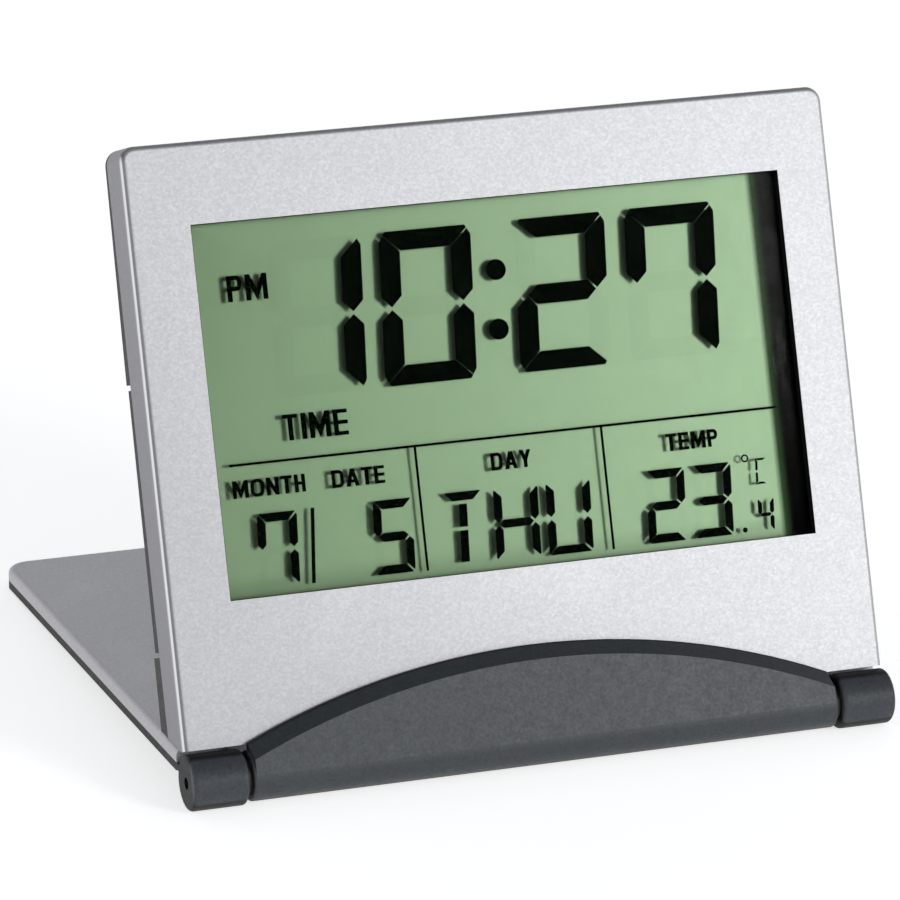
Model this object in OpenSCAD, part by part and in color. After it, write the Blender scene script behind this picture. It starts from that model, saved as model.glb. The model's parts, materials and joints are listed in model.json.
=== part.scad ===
// Folding travel alarm clock, standing open on its flip cover.
// The display case, its buttons and battery door are drawn in the case frame: X across, Y up the face
// from the hinge axis, Z out of the face. The cover is drawn in the cover frame: X across, Y from the
// hinge axis to its far edge, Z towards its silver outside. Both frames have the hinge axis as X axis.

/* [Overall] */
// Width of the case, cover and hinge
body_w = 85.4; // [78:0.2:100]
// Distance from the hinge axis to the top edge of the face
face_top = 71.2; // [70:0.2:84]
// Lean of the face back from upright when the clock stands
stand_lean = 21.7; // [18:0.1:26]
// Radius of the upper corners of the case
corner_r = 1.8; // [1.4:0.1:3]

/* [Face] */
// Thickness of the metal face plate
plate_t = 0.65; // [0.6:0.05:0.8]
// Rounding of the sides and the top edge of the face plate
plate_edge = 0.6; // [0.3:0.05:0.7]
// Mean width of the face on each side of the window
side_margin = 6.95; // [6:0.05:9]
// How far the window lies to the right of the middle of the face
window_shift = 0.45; // [0:0.05:0.8]
// Height of the face above the window
top_margin = 9.3; // [8.2:0.1:12]
// Distance from the hinge axis to the lower edge of the window
window_low = 19.6; // [18:0.2:23]

/* [Front case] */
// Depth of the silver side walls behind the face
case_depth = 5.1; // [4.8:0.1:5.4]
// Thickness of the side walls
wall_t = 1.4; // [1.2:0.1:1.6]
// Thickness of the wall behind the face plate
front_t = 0.4; // [0.4:0.05:0.6]
// Outer radius of the screw bosses
boss_r = 1.7; // [1.5:0.1:1.9]

/* [Rear case] */
// Thickness of the back wall
back_t = 1; // [0.8:0.1:1.3]
// Depth of the dark rim behind the front case, at the upper end of its top step
rim_high = 0.6; // [0.5:0.1:1]
// Depth of the dark rim behind the front case, at the upper end of its middle step
rim_mid = 1; // [0.8:0.1:1.4]
// Depth of the dark rim behind the front case, at the upper end of its lowest step
rim_low = 2.1; // [1.8:0.1:2.4]
// How much deeper the top step is at its lower end, the other steps half and a third of it
rim_ramp = 0.9; // [0.5:0.1:1.2]
// Heights of the two vent notches that part the steps
notch_low = 14.3; // [12:0.1:18]
notch_high = 44.5; // [40:0.1:50]
// Height of each vent notch
notch_h = 0.6; // [0.4:0.1:1]
// Radius of the rounded edges of the back
back_r = 1.3; // [0.8:0.1:1.4]
// Inset of the raised back from the outline of the case
back_inset = 0.9; // [0.8:0.1:1]
// Radius of each sound hole over the buzzer
sound_r = 0.6; // [0.4:0.1:0.8]

/* [Hinge] */
// Radius of the end knuckles of the hinge
knuckle_r = 3.2; // [3:0.1:3.6]
// Length of each end knuckle
knuckle_l = 6.5; // [5.5:0.5:8]
// How much smaller the radius of the middle barrel is
barrel_step = 0.3; // [0.2:0.05:0.5]
// Gap between the barrel and each knuckle
knuckle_gap = 0.6; // [0.5:0.05:0.8]
// Radius of the hinge pins
pin_r = 0.65; // [0.5:0.05:0.9]
// Radial running clearance of the pins in the knuckles
pin_fit = 0.05; // [0.02:0.01:0.08]
// Depth of the pins below the ends of the knuckles
pin_sink = 0.8; // [0.5:0.1:1.5]
// Length of each pin inside the barrel
pin_grip = 6; // [4:0.5:10]
// Edge rounding on the knuckles
knuckle_edge = 0.45; // [0.2:0.05:0.8]
// Edge rounding on the ends of the barrel
barrel_edge = 0.3; // [0.1:0.05:0.5]
// Gap between the knuckles and the foot of the case
hinge_gap = 0.3; // [0.2:0.05:0.4]
// Height of the top of the arch above the hinge axis
arch_top = 10.8; // [10:0.1:12]
// Width of the sloping rim of the arch
arch_bevel = 1.65; // [0.8:0.05:1.8]
// Step of the arch's rim at the face, before it slopes
arch_step = 0.7; // [0.3:0.1:1.2]

/* [Cover] */
// Radius of the far corners of the cover
cover_corner_r = 3; // [2:0.2:4]
// Gap between the closed cover and the face
cover_lift = 0.25; // [0.2:0.05:0.4]
// Depth of the relief beside the knuckles, in the inside of the cover
knuckle_relief = 0.2; // [0.1:0.05:0.3]
// Thickness of the dark inner plate
frame_t = 1; // [0.8:0.1:1.4]
// Thickness of the silver outer plate
shell_t = 1.5; // [1.2:0.1:2]
// Rounding of the outer edges of the silver plate
shell_r = 0.7; // [0.4:0.1:1]
// Gap between the arch and the cut-out of the cover
arch_gap = 0.4; // [0.3:0.05:0.6]
// Gap between the standing cover and the foot of the case that leans on it
stop_gap = 0.3; // [0.25:0.05:0.4]

/* [Display module] */
// Thickness of the clear window lens
lens_t = 0.4; // [0.4:0.05:0.6]
// Overlap of the lens behind the edge of the window
lens_lap = 1.2; // [0.8:0.1:1.8]
// Thickness of the front polariser film
film_t = 0.15; // [0.1:0.01:0.2]
// Thickness of the front glass
front_glass_t = 0.45; // [0.4:0.05:0.6]
// Gap between the two glasses, which holds the segments
cell_gap = 0.1; // [0.05:0.01:0.15]
// Thickness of the rear glass
rear_glass_t = 0.9; // [0.7:0.05:1]
// Thickness of the reflector film
reflector_t = 0.2; // [0.1:0.05:0.25]
// Overlap of the front glass behind the edge of the window
glass_lap = 1.5; // [1.2:0.1:1.8]
// Width of the connector ledge on the lower and upper edge of the front glass
ledge_w = 1.4; // [1.2:0.1:1.5]
// Clearance between stacked or nested pieces
seat_gap = 0.05; // [0.02:0.01:0.08]

/* [Electronics] */
// Thickness of the circuit board
board_t = 0.8; // [0.6:0.1:1]
// Gap between the reflector film and the circuit board
board_gap = 0.45; // [0.35:0.05:0.6]
// Radius of the blob over the clock chip
blob_r = 5; // [4:0.5:6]
// Height of the blob over the clock chip
blob_h = 1.4; // [1:0.1:1.8]
// Radius of the buzzer disc
buzzer_r = 8; // [6:0.5:9]
// Thickness of the buzzer disc
buzzer_t = 0.4; // [0.3:0.05:0.6]
// Radius of the crystal can
crystal_r = 0.75; // [0.6:0.05:1]
// Length of the crystal can
crystal_l = 6; // [5:0.5:8]

/* [Battery] */
// Radius of the coin cell
cell_r = 10; // [8:0.5:10]
// Thickness of the coin cell
cell_t = 3.05; // [2:0.05:3.1]
// Play round the coin cell in its bay
cell_play = 0.8; // [0.6:0.05:1]
// Room between the coin cell and the door
cell_room = 0.6; // [0.4:0.05:0.8]
// Thickness of the contact strips
strip_t = 0.2; // [0.15:0.05:0.3]
// Width of the ledge that carries the door
door_ledge = 1.6; // [1.2:0.1:2]
// Thickness of the door
door_t = 0.8; // [0.6:0.05:0.85]
// Gap round the door
door_gap = 0.15; // [0.1:0.01:0.25]
// Number of grip ribs on the door
door_ribs = 5; // [3:1:7]

/* [Keys] */
// Radius of each key
key_r = 2.6; // [2:0.1:3.2]
// Distance between keys
key_pitch = 14; // [11:0.5:16]
// Height of the row of keys above the hinge axis
key_y = 20.5; // [18:0.5:22]
// Travel of each key
key_stroke = 0.6; // [0.3:0.05:0.7]
// How far each key stands out of the back
key_proud = 0.8; // [0.75:0.05:1.2]
// Radial gap round each key
key_gap = 0.15; // [0.1:0.01:0.25]
// Width of the flange that holds each key in
key_flange = 0.6; // [0.4:0.1:0.9]
// Thickness of that flange
key_flange_t = 0.6; // [0.4:0.05:0.7]

/* [Screws] */
// Radius of the head of each case screw
screw_head_r = 1.4; // [1.2:0.1:1.5]
// Height of the head of each case screw
screw_head_h = 1; // [0.8:0.1:1.2]
// Radius of the shank of each case screw
screw_r = 0.8; // [0.6:0.05:0.9]
// Distance from the sides of the case to the screws
screw_inset_x = 3.9; // [3.6:0.1:4.2]
// Height of the lower screws above the hinge axis
screw_low_y = 12; // [11.5:0.5:13]

/* [Hidden] */
$fn = 64;
arch_fn = 720;
cut = 0.5;
half_w = body_w / 2;
square_r = 0.15;

// Hinge and cover, worked out from the sizes above.
barrel_r = knuckle_r - barrel_step;
face_foot = knuckle_r + hinge_gap;
arch_foot = face_foot;
barrel_half = half_w - knuckle_l - knuckle_gap;
knuckle_in = half_w - knuckle_l;
arch_rise = arch_top - arch_foot;
arch_r = (pow(barrel_half, 2) + pow(arch_rise, 2)) / (2 * arch_rise);
arch_centre = arch_top - arch_r;
cover_len = face_top;
cover_top = cover_lift + frame_t + shell_t;
cover_pitch = asin(knuckle_r / sqrt(pow(cover_len, 2) + pow(cover_lift, 2)))
    + atan(cover_lift / cover_len);
footprint_back = cover_len * cos(cover_pitch) + (cover_lift + frame_t) * sin(cover_pitch);
axis_y = (knuckle_r - footprint_back) / 2;
foot_slope = stand_lean - cover_pitch;
floor_t = 1;
floor_y = foot_at(case_depth) + floor_t;

// Stack behind the face: each value is the Z of a front surface in the case frame.
front_z = -plate_t;
lens_z = front_z - front_t;
film_z = lens_z - lens_t - seat_gap;
glass_z = film_z - film_t;
cell_z = glass_z - front_glass_t;
rear_glass_z = cell_z - cell_gap;
reflector_z = rear_glass_z - rear_glass_t;
board_z = reflector_z - reflector_t - board_gap;
board_back = board_z - board_t;
cell_front = board_back - strip_t;
back_depth = cell_t - cell_front + cell_room + door_t;
wall_in = -back_depth + back_t;

// Outlines of the module, in X and Y.
window_w = body_w - 2 * side_margin;
window_top = face_top - top_margin;
window_h = window_top - window_low;
glass_w = window_w + 2 * glass_lap;
holder_t = 0.6;
holder_w = glass_w + 2 * holder_t;
holder_low = window_low - glass_lap - ledge_w - holder_t;
holder_high = window_top + glass_lap + ledge_w + holder_t;
strip_w = ledge_w - 0.6;
strip_low = window_low - glass_lap - 0.3 - strip_w;
strip_high = window_top + glass_lap + 0.3;
board_w = holder_w;
board_low = floor_y + 1.6;
board_top = face_top - wall_t - 0.6;
post_r = 1.5;
post_hole_r = 0.7;
post_x = board_w / 2 - post_r - 2.7;
post_low_y = board_low + post_r + 1.7;
post_high_y = holder_high + post_r + 0.2;
post_head_r = 1.3;
post_head_h = 0.7;
tongue_x = body_w * 0.26;
tongue_w = body_w * 0.106;
tongue_t = 1.4;
tongue_back = lens_z - tongue_t;
stake_r = 1;
stake_y = floor_y + stake_r + 1.8;
tongue_top = stake_y + stake_r + 1.4;
stake_head_r = 1.6;
stake_head_t = 0.4;

// Battery bay and keys.
bay_r = cell_r + cell_play;
bay_out = bay_r + door_ledge;
door_half = bay_out - door_gap;
nail_w = door_half * 0.45;
nail_h = 1.4;
nail_t = 0.6;
bay_frame = bay_out + 0.8;
bay_x = -body_w / 5;
bay_y = (key_y + face_top) / 2;
buzzer_x = -bay_x;
sound_ring = buzzer_r * 0.4;
buzzer_z = wall_in + 0.5;
buzzer_ledge = 1;
key_xs = [for (i = [-1.5, -0.5, 0.5, 1.5]) i * key_pitch];
key_base = wall_in + seat_gap + key_flange_t;
dome_z = key_base + key_stroke + 2 * seat_gap;
screw_x = half_w - screw_inset_x;
screw_high_y = holder_high + boss_r + 0.2;
screw_boss_r = screw_head_r + 0.9;
screw_play = 0.15;
screw_seat = -back_depth + 2.2;

// ---- Frames -------------------------------------------------------------------------------------

// Places the case frame: the hinge axis at its height over the table, the face leaning back.
module on_case() {
    translate([0, axis_y, knuckle_r]) rotate([90 - stand_lean, 0, 0]) children();
}

// Places the cover frame: the cover slopes from the hinge to the table at its far edge.
module on_cover() {
    translate([0, axis_y, knuckle_r]) rotate([-cover_pitch, 0, 0]) children();
}

// Height of the slanting foot of the case, which leans on the cover, at a depth behind the face.
function foot_at(depth) = (cover_top + stop_gap) / cos(foot_slope) + depth * tan(foot_slope);

// All that lies under the plane of the standing cover's outside, in the case frame.
module under_case() {
    rotate([stand_lean - 90 - cover_pitch, 0, 0])
        translate([-body_w, -face_top, -face_top])
            cube([2 * body_w, 3 * face_top, face_top + cover_top + stop_gap]);
}

// ---- Shared outlines ----------------------------------------------------------------------------

// A rectangle centred on X from y0 to y1, with one corner radius below and another above.
module tile(w, y0, y1, r_low, r_high) {
    translate([-w / 2, y0 + r_low]) square([w, y1 - y0 - r_low - r_high]);
    translate([-w / 2 + r_low, y0]) square([w - 2 * r_low, r_low]);
    translate([-w / 2 + r_high, y1 - r_high]) square([w - 2 * r_high, r_high]);
    for (s = [-1, 1]) {
        translate([s * (w / 2 - r_low), y0 + r_low]) circle(r_low);
        translate([s * (w / 2 - r_high), y1 - r_high]) circle(r_high);
    }
}

// The outline of the case.
module case_outline() {
    tile(body_w, face_foot, face_top, square_r, corner_r);
}

// Moves a piece to the middle of the window.
module at_window() {
    translate([window_shift, 0]) children();
}

// The opening of the window, grown by a margin.
module window_hole(grow) {
    at_window() translate([-window_w / 2 - grow, window_low - grow])
        square([window_w + 2 * grow, window_h + 2 * grow]);
}

// A slab of a 2-D outline from z_front down to z_back.
module slab(z_front, z_back) {
    translate([0, 0, z_back]) linear_extrude(z_front - z_back) children();
}

// Section of a plate of thickness t from a to b, under Y = 0, its upper edge at b rounded over.
module soft_section(a, b, edge, t) {
    translate([a, -t]) square([b - a - edge, t]);
    translate([a, -t]) square([b - a, t - edge]);
    translate([b - edge, -edge]) intersection() {
        circle(edge, $fn = 32);
        square(edge);
    }
}

// A plate centred on X from y0 to y1, under Z = 0, with its sides, its far edge and its two far
// corners rounded over.
module soft_plate(w, y0, y1, r, edge, t) {
    e = min(edge, r / 2 - seat_gap, t - seat_gap);
    translate([r - w / 2, 0, 0]) rotate([90, 0, 90]) linear_extrude(w - 2 * r)
        soft_section(y0, y1, e, t);
    for (m = [0, 1]) mirror([m, 0, 0]) {
        translate([0, y1 - r, 0]) rotate([90, 0, 0]) linear_extrude(y1 - r - y0)
            soft_section(0, w / 2, e, t);
        translate([w / 2 - r, y1 - r, 0]) rotate_extrude() soft_section(0, r, e, t);
    }
}

// A turned bar along X from x0 to x1, with rounded ends.
module bar(x0, x1, r, edge) {
    translate([x0, 0, 0]) rotate([0, 90, 0]) rotate_extrude() intersection() {
        union() {
            translate([0, edge]) square([r, x1 - x0 - 2 * edge]);
            square([r - edge, x1 - x0]);
            for (y = [edge, x1 - x0 - edge]) translate([r - edge, y]) circle(edge, $fn = 32);
        }
        square([r, x1 - x0]);
    }
}

// Repeats a piece at the four case screws.
module at_case_screws() {
    for (x = [-screw_x, screw_x], y = [screw_low_y, screw_high_y]) translate([x, y, 0]) children();
}

// Repeats a piece at the four board posts.
module at_board_posts() {
    for (x = [-post_x, post_x], y = [post_low_y, post_high_y]) translate([x, y, 0]) children();
}

// ---- Face and front case ------------------------------------------------------------------------

module face_plate() {
    color("gainsboro") on_case() difference() {
        soft_plate(body_w, face_foot, face_top, corner_r, plate_edge, plate_t);
        slab(cut, -plate_t - cut) window_hole(0);
    }
}

module front_case() {
    color("silver") on_case() difference() {
        union() {
            difference() {
                slab(front_z, -case_depth) case_outline();
                slab(cut, -back_depth) window_hole(0.1);
                slab(lens_z, -back_depth)
                    tile(body_w - 2 * wall_t, floor_y, face_top - wall_t, 0.6, 1);
            }
            at_case_screws() slab(lens_z + front_t / 2, -case_depth) circle(boss_r);
            at_board_posts() slab(lens_z + front_t / 2, board_z) circle(post_r);
            for (x = [-tongue_x, tongue_x]) translate([x, stake_y, 0]) {
                slab(lens_z + front_t / 2, tongue_back - stake_head_t) circle(stake_r);
                slab(tongue_back, tongue_back - stake_head_t) circle(stake_head_r);
            }
        }
        at_case_screws() slab(lens_z, -back_depth) circle(screw_r);
        at_board_posts() slab(lens_z, -back_depth) circle(post_hole_r);
        for (x = [-tongue_x, tongue_x])
            translate([x - tongue_w / 2 - seat_gap, 0, tongue_back - seat_gap])
                cube([tongue_w + 2 * seat_gap, floor_y + cut, tongue_t + seat_gap]);
        under_case();
    }
}

// ---- Display module -----------------------------------------------------------------------------

module window_lens() {
    color("white", 0.3) on_case() slab(lens_z, lens_z - lens_t) window_hole(lens_lap);
}

module lcd_film() {
    color("lightgray", 0.4) on_case() slab(film_z, film_z - film_t) window_hole(glass_lap - 0.4);
}

module lcd_front_glass() {
    color("honeydew", 0.4) on_case() slab(glass_z, glass_z - front_glass_t) at_window()
        tile(glass_w, window_low - glass_lap - ledge_w, window_top + glass_lap + ledge_w, 0.2, 0.2);
}

module lcd_rear_glass() {
    color("honeydew", 0.4) on_case() slab(rear_glass_z, rear_glass_z - rear_glass_t)
        window_hole(glass_lap);
}

module lcd_reflector() {
    color("darkseagreen") on_case() slab(reflector_z, reflector_z - reflector_t)
        window_hole(glass_lap - 0.3);
}

// Dark frame that clamps the glasses against the lens, open where the connector strips pass.
module lcd_holder() {
    play = 2 * seat_gap;
    color("#303030") on_case() difference() {
        slab(film_z, board_z) at_window() tile(holder_w, holder_low, holder_high, 0.6, 0.6);
        slab(film_z + cut, cell_z) at_window()
            tile(glass_w + play, holder_low + holder_t - seat_gap,
                holder_high - holder_t + seat_gap, 0.2, 0.2);
        slab(film_z, board_z - cut) window_hole(glass_lap + seat_gap);
        at_window() for (y = [strip_low - seat_gap, strip_high - seat_gap])
            translate([-window_w / 2, y, board_z - cut])
                cube([window_w, strip_w + play, cell_z - board_z + 2 * cut]);
    }
}

module connector_strips() {
    color("dimgray") on_case() at_window() for (y = [strip_low, strip_high])
        translate([seat_gap - window_w / 2, y, board_z])
            cube([window_w - 2 * seat_gap, strip_w, cell_z - board_z]);
}

// ---- Electronics --------------------------------------------------------------------------------

module circuit_board() {
    color("darkgreen") on_case() difference() {
        slab(board_z, board_back) tile(board_w, board_low, board_top, 0.5, 0.5);
        at_board_posts() slab(board_z + cut, board_back - cut) circle(screw_r);
        at_case_screws() slab(board_z + cut, board_back - cut) circle(screw_boss_r + 0.2);
    }
}

module chip_blob() {
    ball = (pow(blob_r, 2) + pow(blob_h, 2)) / (2 * blob_h);
    color("black") on_case() translate([buzzer_x / 4, (key_y + bay_y) / 2, 0]) intersection() {
        translate([0, 0, board_back - blob_h + ball]) sphere(ball, $fn = 96);
        slab(board_back, board_back - blob_h) circle(blob_r);
    }
}

module crystal_can() {
    color("silver") on_case()
        translate([buzzer_x * 1.4, (key_y + bay_y) / 2 - blob_r, board_back - crystal_r])
            rotate([0, 90, 0]) cylinder(r = crystal_r, h = crystal_l);
}

// A glass bead on two wire legs, close to the upper vent notch.
module temperature_sensor() {
    bead_r = 0.6;
    bead_l = 3 * bead_r;
    leg_r = bead_r / 3;
    leg_l = 2.5 * bead_l;
    color("sienna") on_case() translate([board_w / 2 - bead_l, notch_high, board_back - bead_r])
        rotate([0, 90, 0]) {
            cylinder(r = bead_r, h = bead_l);
            for (y = [-1, 1]) translate([leg_r - bead_r, y * bead_r / 2, bead_l / 2 - leg_l])
                cylinder(r = leg_r, h = leg_l);
        }
}

module buzzer_disc() {
    color("goldenrod") on_case() translate([buzzer_x, bay_y, 0]) {
        slab(buzzer_z + buzzer_t, buzzer_z) circle(buzzer_r);
        slab(buzzer_z + buzzer_t + 0.2, buzzer_z + buzzer_t) circle(buzzer_r * 0.7);
    }
}

// A strip down the wall of the bay that touches the rim of the cell, with a foot on the board.
module contact_plus() {
    x = bay_r - strip_t - seat_gap;
    bump = cell_play - strip_t - 2 * seat_gap;
    w = cell_r * 0.4;
    color("lightgray") on_case() translate([bay_x, bay_y, 0]) {
        translate([x, -w / 2, cell_front - cell_t]) cube([strip_t, w, cell_t + strip_t]);
        translate([x - bump, -w / 4, cell_front - cell_t * 0.9]) cube([bump, w / 2, cell_t * 0.7]);
    }
}

// A leaf on the board under the cell.
module contact_minus() {
    w = cell_r * 0.4;
    color("lightgray") on_case() translate([bay_x, bay_y, 0]) slab(board_back, cell_front) union() {
        circle(cell_r * 0.45);
        translate([-w / 2, -cell_r * 0.9]) square([w, cell_r * 0.9]);
    }
}

module coin_cell() {
    step = cell_t / 10;
    color("silver") on_case() translate([bay_x, bay_y, 0]) {
        slab(cell_front, cell_front - step) circle(cell_r * 0.88);
        slab(cell_front - step, cell_front - cell_t) circle(cell_r);
    }
}

// Rubber mat on the board with one dome under each key.
module key_mat() {
    mat_t = 0.5;
    reach = key_r + 1.4;
    color("dimgray") on_case() {
        slab(board_back, board_back - mat_t)
            tile(3 * key_pitch + 2 * reach, key_y - reach, key_y + reach, 1, 1);
        for (x = key_xs) translate([x, key_y, dome_z])
            cylinder(r1 = key_r * 0.5, r2 = key_r * 0.9, h = board_back - mat_t - dome_z);
    }
}

// ---- Rear case ----------------------------------------------------------------------------------

// Side profile of the dark rim: three ramps, each a little deeper at its lower end.
module rim_profile() {
    translate([0, -case_depth]) polygon([[face_foot, 0], [face_top, 0], [face_top, -rim_high],
        [notch_high, -rim_high - rim_ramp], [notch_high, -rim_mid],
        [notch_low, -rim_mid - rim_ramp / 2], [notch_low, -rim_low],
        [face_foot, -rim_low - rim_ramp / 3]]);
}

// Profile of the raised back, w wide, with rounded edges, from the joint plane to the back.
module back_profile(y0, y1) {
    translate([y0 + back_r, -back_depth]) square([y1 - y0 - 2 * back_r, back_r]);
    translate([y0, -back_depth + back_r]) square([y1 - y0, back_depth - back_r - case_depth]);
    for (y = [y0 + back_r, y1 - back_r]) translate([y, -back_depth + back_r]) circle(back_r);
}

module rear_case_block() {
    intersection() {
        slab(-case_depth, -back_depth) case_outline();
        translate([-half_w, 0, 0]) rotate([90, 0, 90]) linear_extrude(body_w) rim_profile();
    }
    intersection() {
        translate([-half_w, 0, 0]) rotate([90, 0, 90]) linear_extrude(body_w)
            back_profile(face_foot, face_top - back_inset);
        translate([0, face_top, 0]) rotate([90, 0, 0]) linear_extrude(face_top)
            back_profile(-half_w + back_inset, half_w - back_inset);
    }
}

module rear_case() {
    in_w = body_w - 2 * wall_t - 2;
    color("dimgray") on_case() difference() {
        union() {
            difference() {
                rear_case_block();
                slab(-case_depth + cut, wall_in)
                    tile(in_w, foot_at(back_depth) + floor_t, face_top - wall_t - 1, 1, 1);
            }
            translate([bay_x, bay_y, 0]) slab(board_back - 0.3, wall_in - seat_gap)
                square(2 * bay_frame, center = true);
            at_case_screws() slab(-case_depth, wall_in - seat_gap) circle(screw_boss_r);
            translate([buzzer_x, bay_y, 0]) difference() {
                slab(buzzer_z + 2 * buzzer_t, wall_in - seat_gap) circle(buzzer_r + buzzer_ledge);
                slab(0, buzzer_z) circle(buzzer_r + seat_gap);
                slab(0, wall_in) circle(buzzer_r - buzzer_ledge);
            }
        }
        translate([bay_x, bay_y, 0]) {
            slab(board_back, -back_depth - cut) square(2 * bay_r, center = true);
            slab(-back_depth + door_t + seat_gap, -back_depth - cut)
                square(2 * bay_out, center = true);
            translate([-nail_w / 2, -bay_out - nail_h, -back_depth - cut])
                cube([nail_w, nail_h + cut, cut + nail_t]);
        }
        for (x = key_xs) translate([x, key_y, 0]) {
            slab(-case_depth, -back_depth - cut) circle(key_r + key_gap);
            slab(wall_in + cut, wall_in) circle(key_r + key_flange + key_gap);
        }
        translate([buzzer_x, bay_y, 0]) for (i = [0:6])
            rotate(i * 60) translate([i == 6 ? 0 : sound_ring, 0, 0])
                slab(-case_depth, -back_depth - cut) circle(sound_r);
        at_case_screws() {
            slab(screw_seat, -back_depth - cut) circle(screw_head_r + screw_play);
            slab(-case_depth + cut, -back_depth) circle(screw_r + 0.1);
        }
        for (s = [-1, 1], y = [notch_low, notch_high])
            translate([s * half_w, y, -back_depth / 2 - case_depth - seat_gap])
                cube([2 * wall_t, notch_h, back_depth], center = true);
        under_case();
    }
}

// The door of the battery bay, with grip ribs over a notch for a fingernail.
module battery_door() {
    rib_w = door_half;
    rib_pitch = door_half / 9;
    rib_h = 0.3;
    color("dimgray") on_case() translate([bay_x, bay_y, 0]) difference() {
        union() {
            slab(-back_depth + door_t, -back_depth) square(2 * door_half, center = true);
            for (i = [0:door_ribs - 1])
                translate([-rib_w / 2, (i + 2) * rib_pitch - door_half, -back_depth - rib_h])
                    cube([rib_w, rib_pitch / 2, rib_h + seat_gap]);
        }
        translate([-nail_w / 2, -door_half - cut, -back_depth - cut])
            cube([nail_w, cut + nail_t, cut + door_t / 2]);
    }
}

// ---- Keys ---------------------------------------------------------------------------------------

// One push key: a round cap through the back with a flange inside that holds it in.
module push_key(x) {
    tip = key_proud / 2;
    h = key_base + back_depth + key_proud;
    color("silver") on_case() translate([x, key_y, key_base]) mirror([0, 0, 1]) rotate_extrude() {
        square([key_r, h - tip]);
        square([key_r - tip, h]);
        translate([key_r - tip, h - tip]) circle(tip, $fn = 32);
        square([key_r + key_flange, key_flange_t]);
    }
}

module key_mode() { push_key(key_xs[0]); }
module key_set() { push_key(key_xs[1]); }
module key_up() { push_key(key_xs[2]); }
module key_down() { push_key(key_xs[3]); }

// ---- Screws -------------------------------------------------------------------------------------

// A pan-head screw along Z with its head down and a cross recess.
module screw(head_r, head_h, r, length) {
    difference() {
        union() {
            translate([0, 0, -head_h]) cylinder(r = head_r, h = head_h);
            cylinder(r = r, h = length);
        }
        for (a = [0, 90]) rotate(a) translate([-head_r * 0.6, -head_r * 0.12, -head_h - cut])
            cube([head_r * 1.2, head_r * 0.24, cut + head_h * 0.5]);
    }
}

module case_screws() {
    color("gray") on_case() at_case_screws() translate([0, 0, screw_seat])
        screw(screw_head_r, screw_head_h, screw_r, lens_z - screw_seat - 0.6);
}

module board_screws() {
    color("gray") on_case() at_board_posts() translate([0, 0, board_back])
        screw(post_head_r, post_head_h, post_hole_r, lens_z - board_back - 0.6);
}

// ---- Hinge --------------------------------------------------------------------------------------

// The middle barrel, the arched tab over the foot of the face, and two tongues into the case.
module hinge_arch() {
    color("#4d5256") on_case() difference() {
        union() {
            bar(-barrel_half, barrel_half, barrel_r, barrel_edge);
            intersection() {
                translate([0, arch_centre, seat_gap]) rotate_extrude($fn = arch_fn) polygon([
                    [arch_r - 2 * arch_top, 0], [arch_r, 0], [arch_r, arch_step],
                    [arch_r - arch_bevel, barrel_r - seat_gap],
                    [arch_r - 2 * arch_top, barrel_r - seat_gap]]);
                translate([-barrel_half + barrel_edge, 0, 0])
                    cube([2 * (barrel_half - barrel_edge), arch_top + cut, barrel_r]);
            }
            for (x = [-tongue_x, tongue_x])
                translate([x - tongue_w / 2, 0, tongue_back])
                    cube([tongue_w, tongue_top, tongue_t]);
        }
        for (s = [-1, 1]) translate([s * (barrel_half - pin_grip), 0, 0]) rotate([0, s * 90, 0])
            cylinder(r = pin_r, h = pin_grip + cut);
        for (x = [-tongue_x, tongue_x])
            translate([x, stake_y, 0]) slab(lens_z + cut, -back_depth) circle(stake_r + seat_gap);
    }
}

module hinge_pins() {
    color("lightgray") on_case() for (s = [-1, 1])
        translate([s * (barrel_half - pin_grip), 0, 0]) rotate([0, s * 90, 0])
            cylinder(r = pin_r, h = pin_grip + knuckle_gap + knuckle_l - pin_sink);
}

module hinge_washers() {
    color("black") on_case() for (s = [-1, 1]) difference() {
        translate([s * (barrel_half + knuckle_gap / 2), 0, 0]) rotate([0, 90, 0])
            cylinder(r = barrel_r - 0.7, h = knuckle_gap / 2, center = true);
        translate([s * (barrel_half + knuckle_gap / 2), 0, 0]) rotate([0, 90, 0])
            cylinder(r = pin_r + seat_gap, h = 2 * knuckle_gap, center = true);
    }
}

// ---- Cover --------------------------------------------------------------------------------------

// The outline of the cover from y0 to its far edge, cut out to clear the arch of the hinge.
module cover_outline(y0, gap) {
    difference() {
        tile(body_w, y0, cover_len, square_r, cover_corner_r);
        translate([0, arch_centre]) circle(arch_r + gap, $fn = arch_fn);
        translate([-knuckle_in, 0]) square([2 * knuckle_in, face_foot]);
    }
}

module cover_frame() {
    color("#33383c") on_cover() {
        difference() {
            union() {
                slab(cover_lift + frame_t, cover_lift + knuckle_relief)
                    cover_outline(knuckle_r / 3, arch_gap);
                slab(cover_lift + knuckle_relief, cover_lift)
                    cover_outline(knuckle_r + arch_gap, arch_gap);
                for (s = [-1, 1]) translate([s * (knuckle_in + knuckle_l / 2), 0, 0])
                    bar(-knuckle_l / 2, knuckle_l / 2, knuckle_r, knuckle_edge);
            }
            for (s = [-1, 1]) translate([s * (knuckle_in - cut), 0, 0]) rotate([0, s * 90, 0])
                cylinder(r = pin_r + pin_fit, h = knuckle_l + 2 * cut);
        }
    }
}

module cover_shell() {
    color("silver") on_cover() difference() {
        translate([0, 0, cover_top])
            soft_plate(body_w, face_foot, cover_len, cover_corner_r, shell_r, shell_t);
        slab(cover_top + cut, 0) translate([0, arch_centre])
            circle(arch_r + arch_gap, $fn = arch_fn);
    }
}

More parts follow.
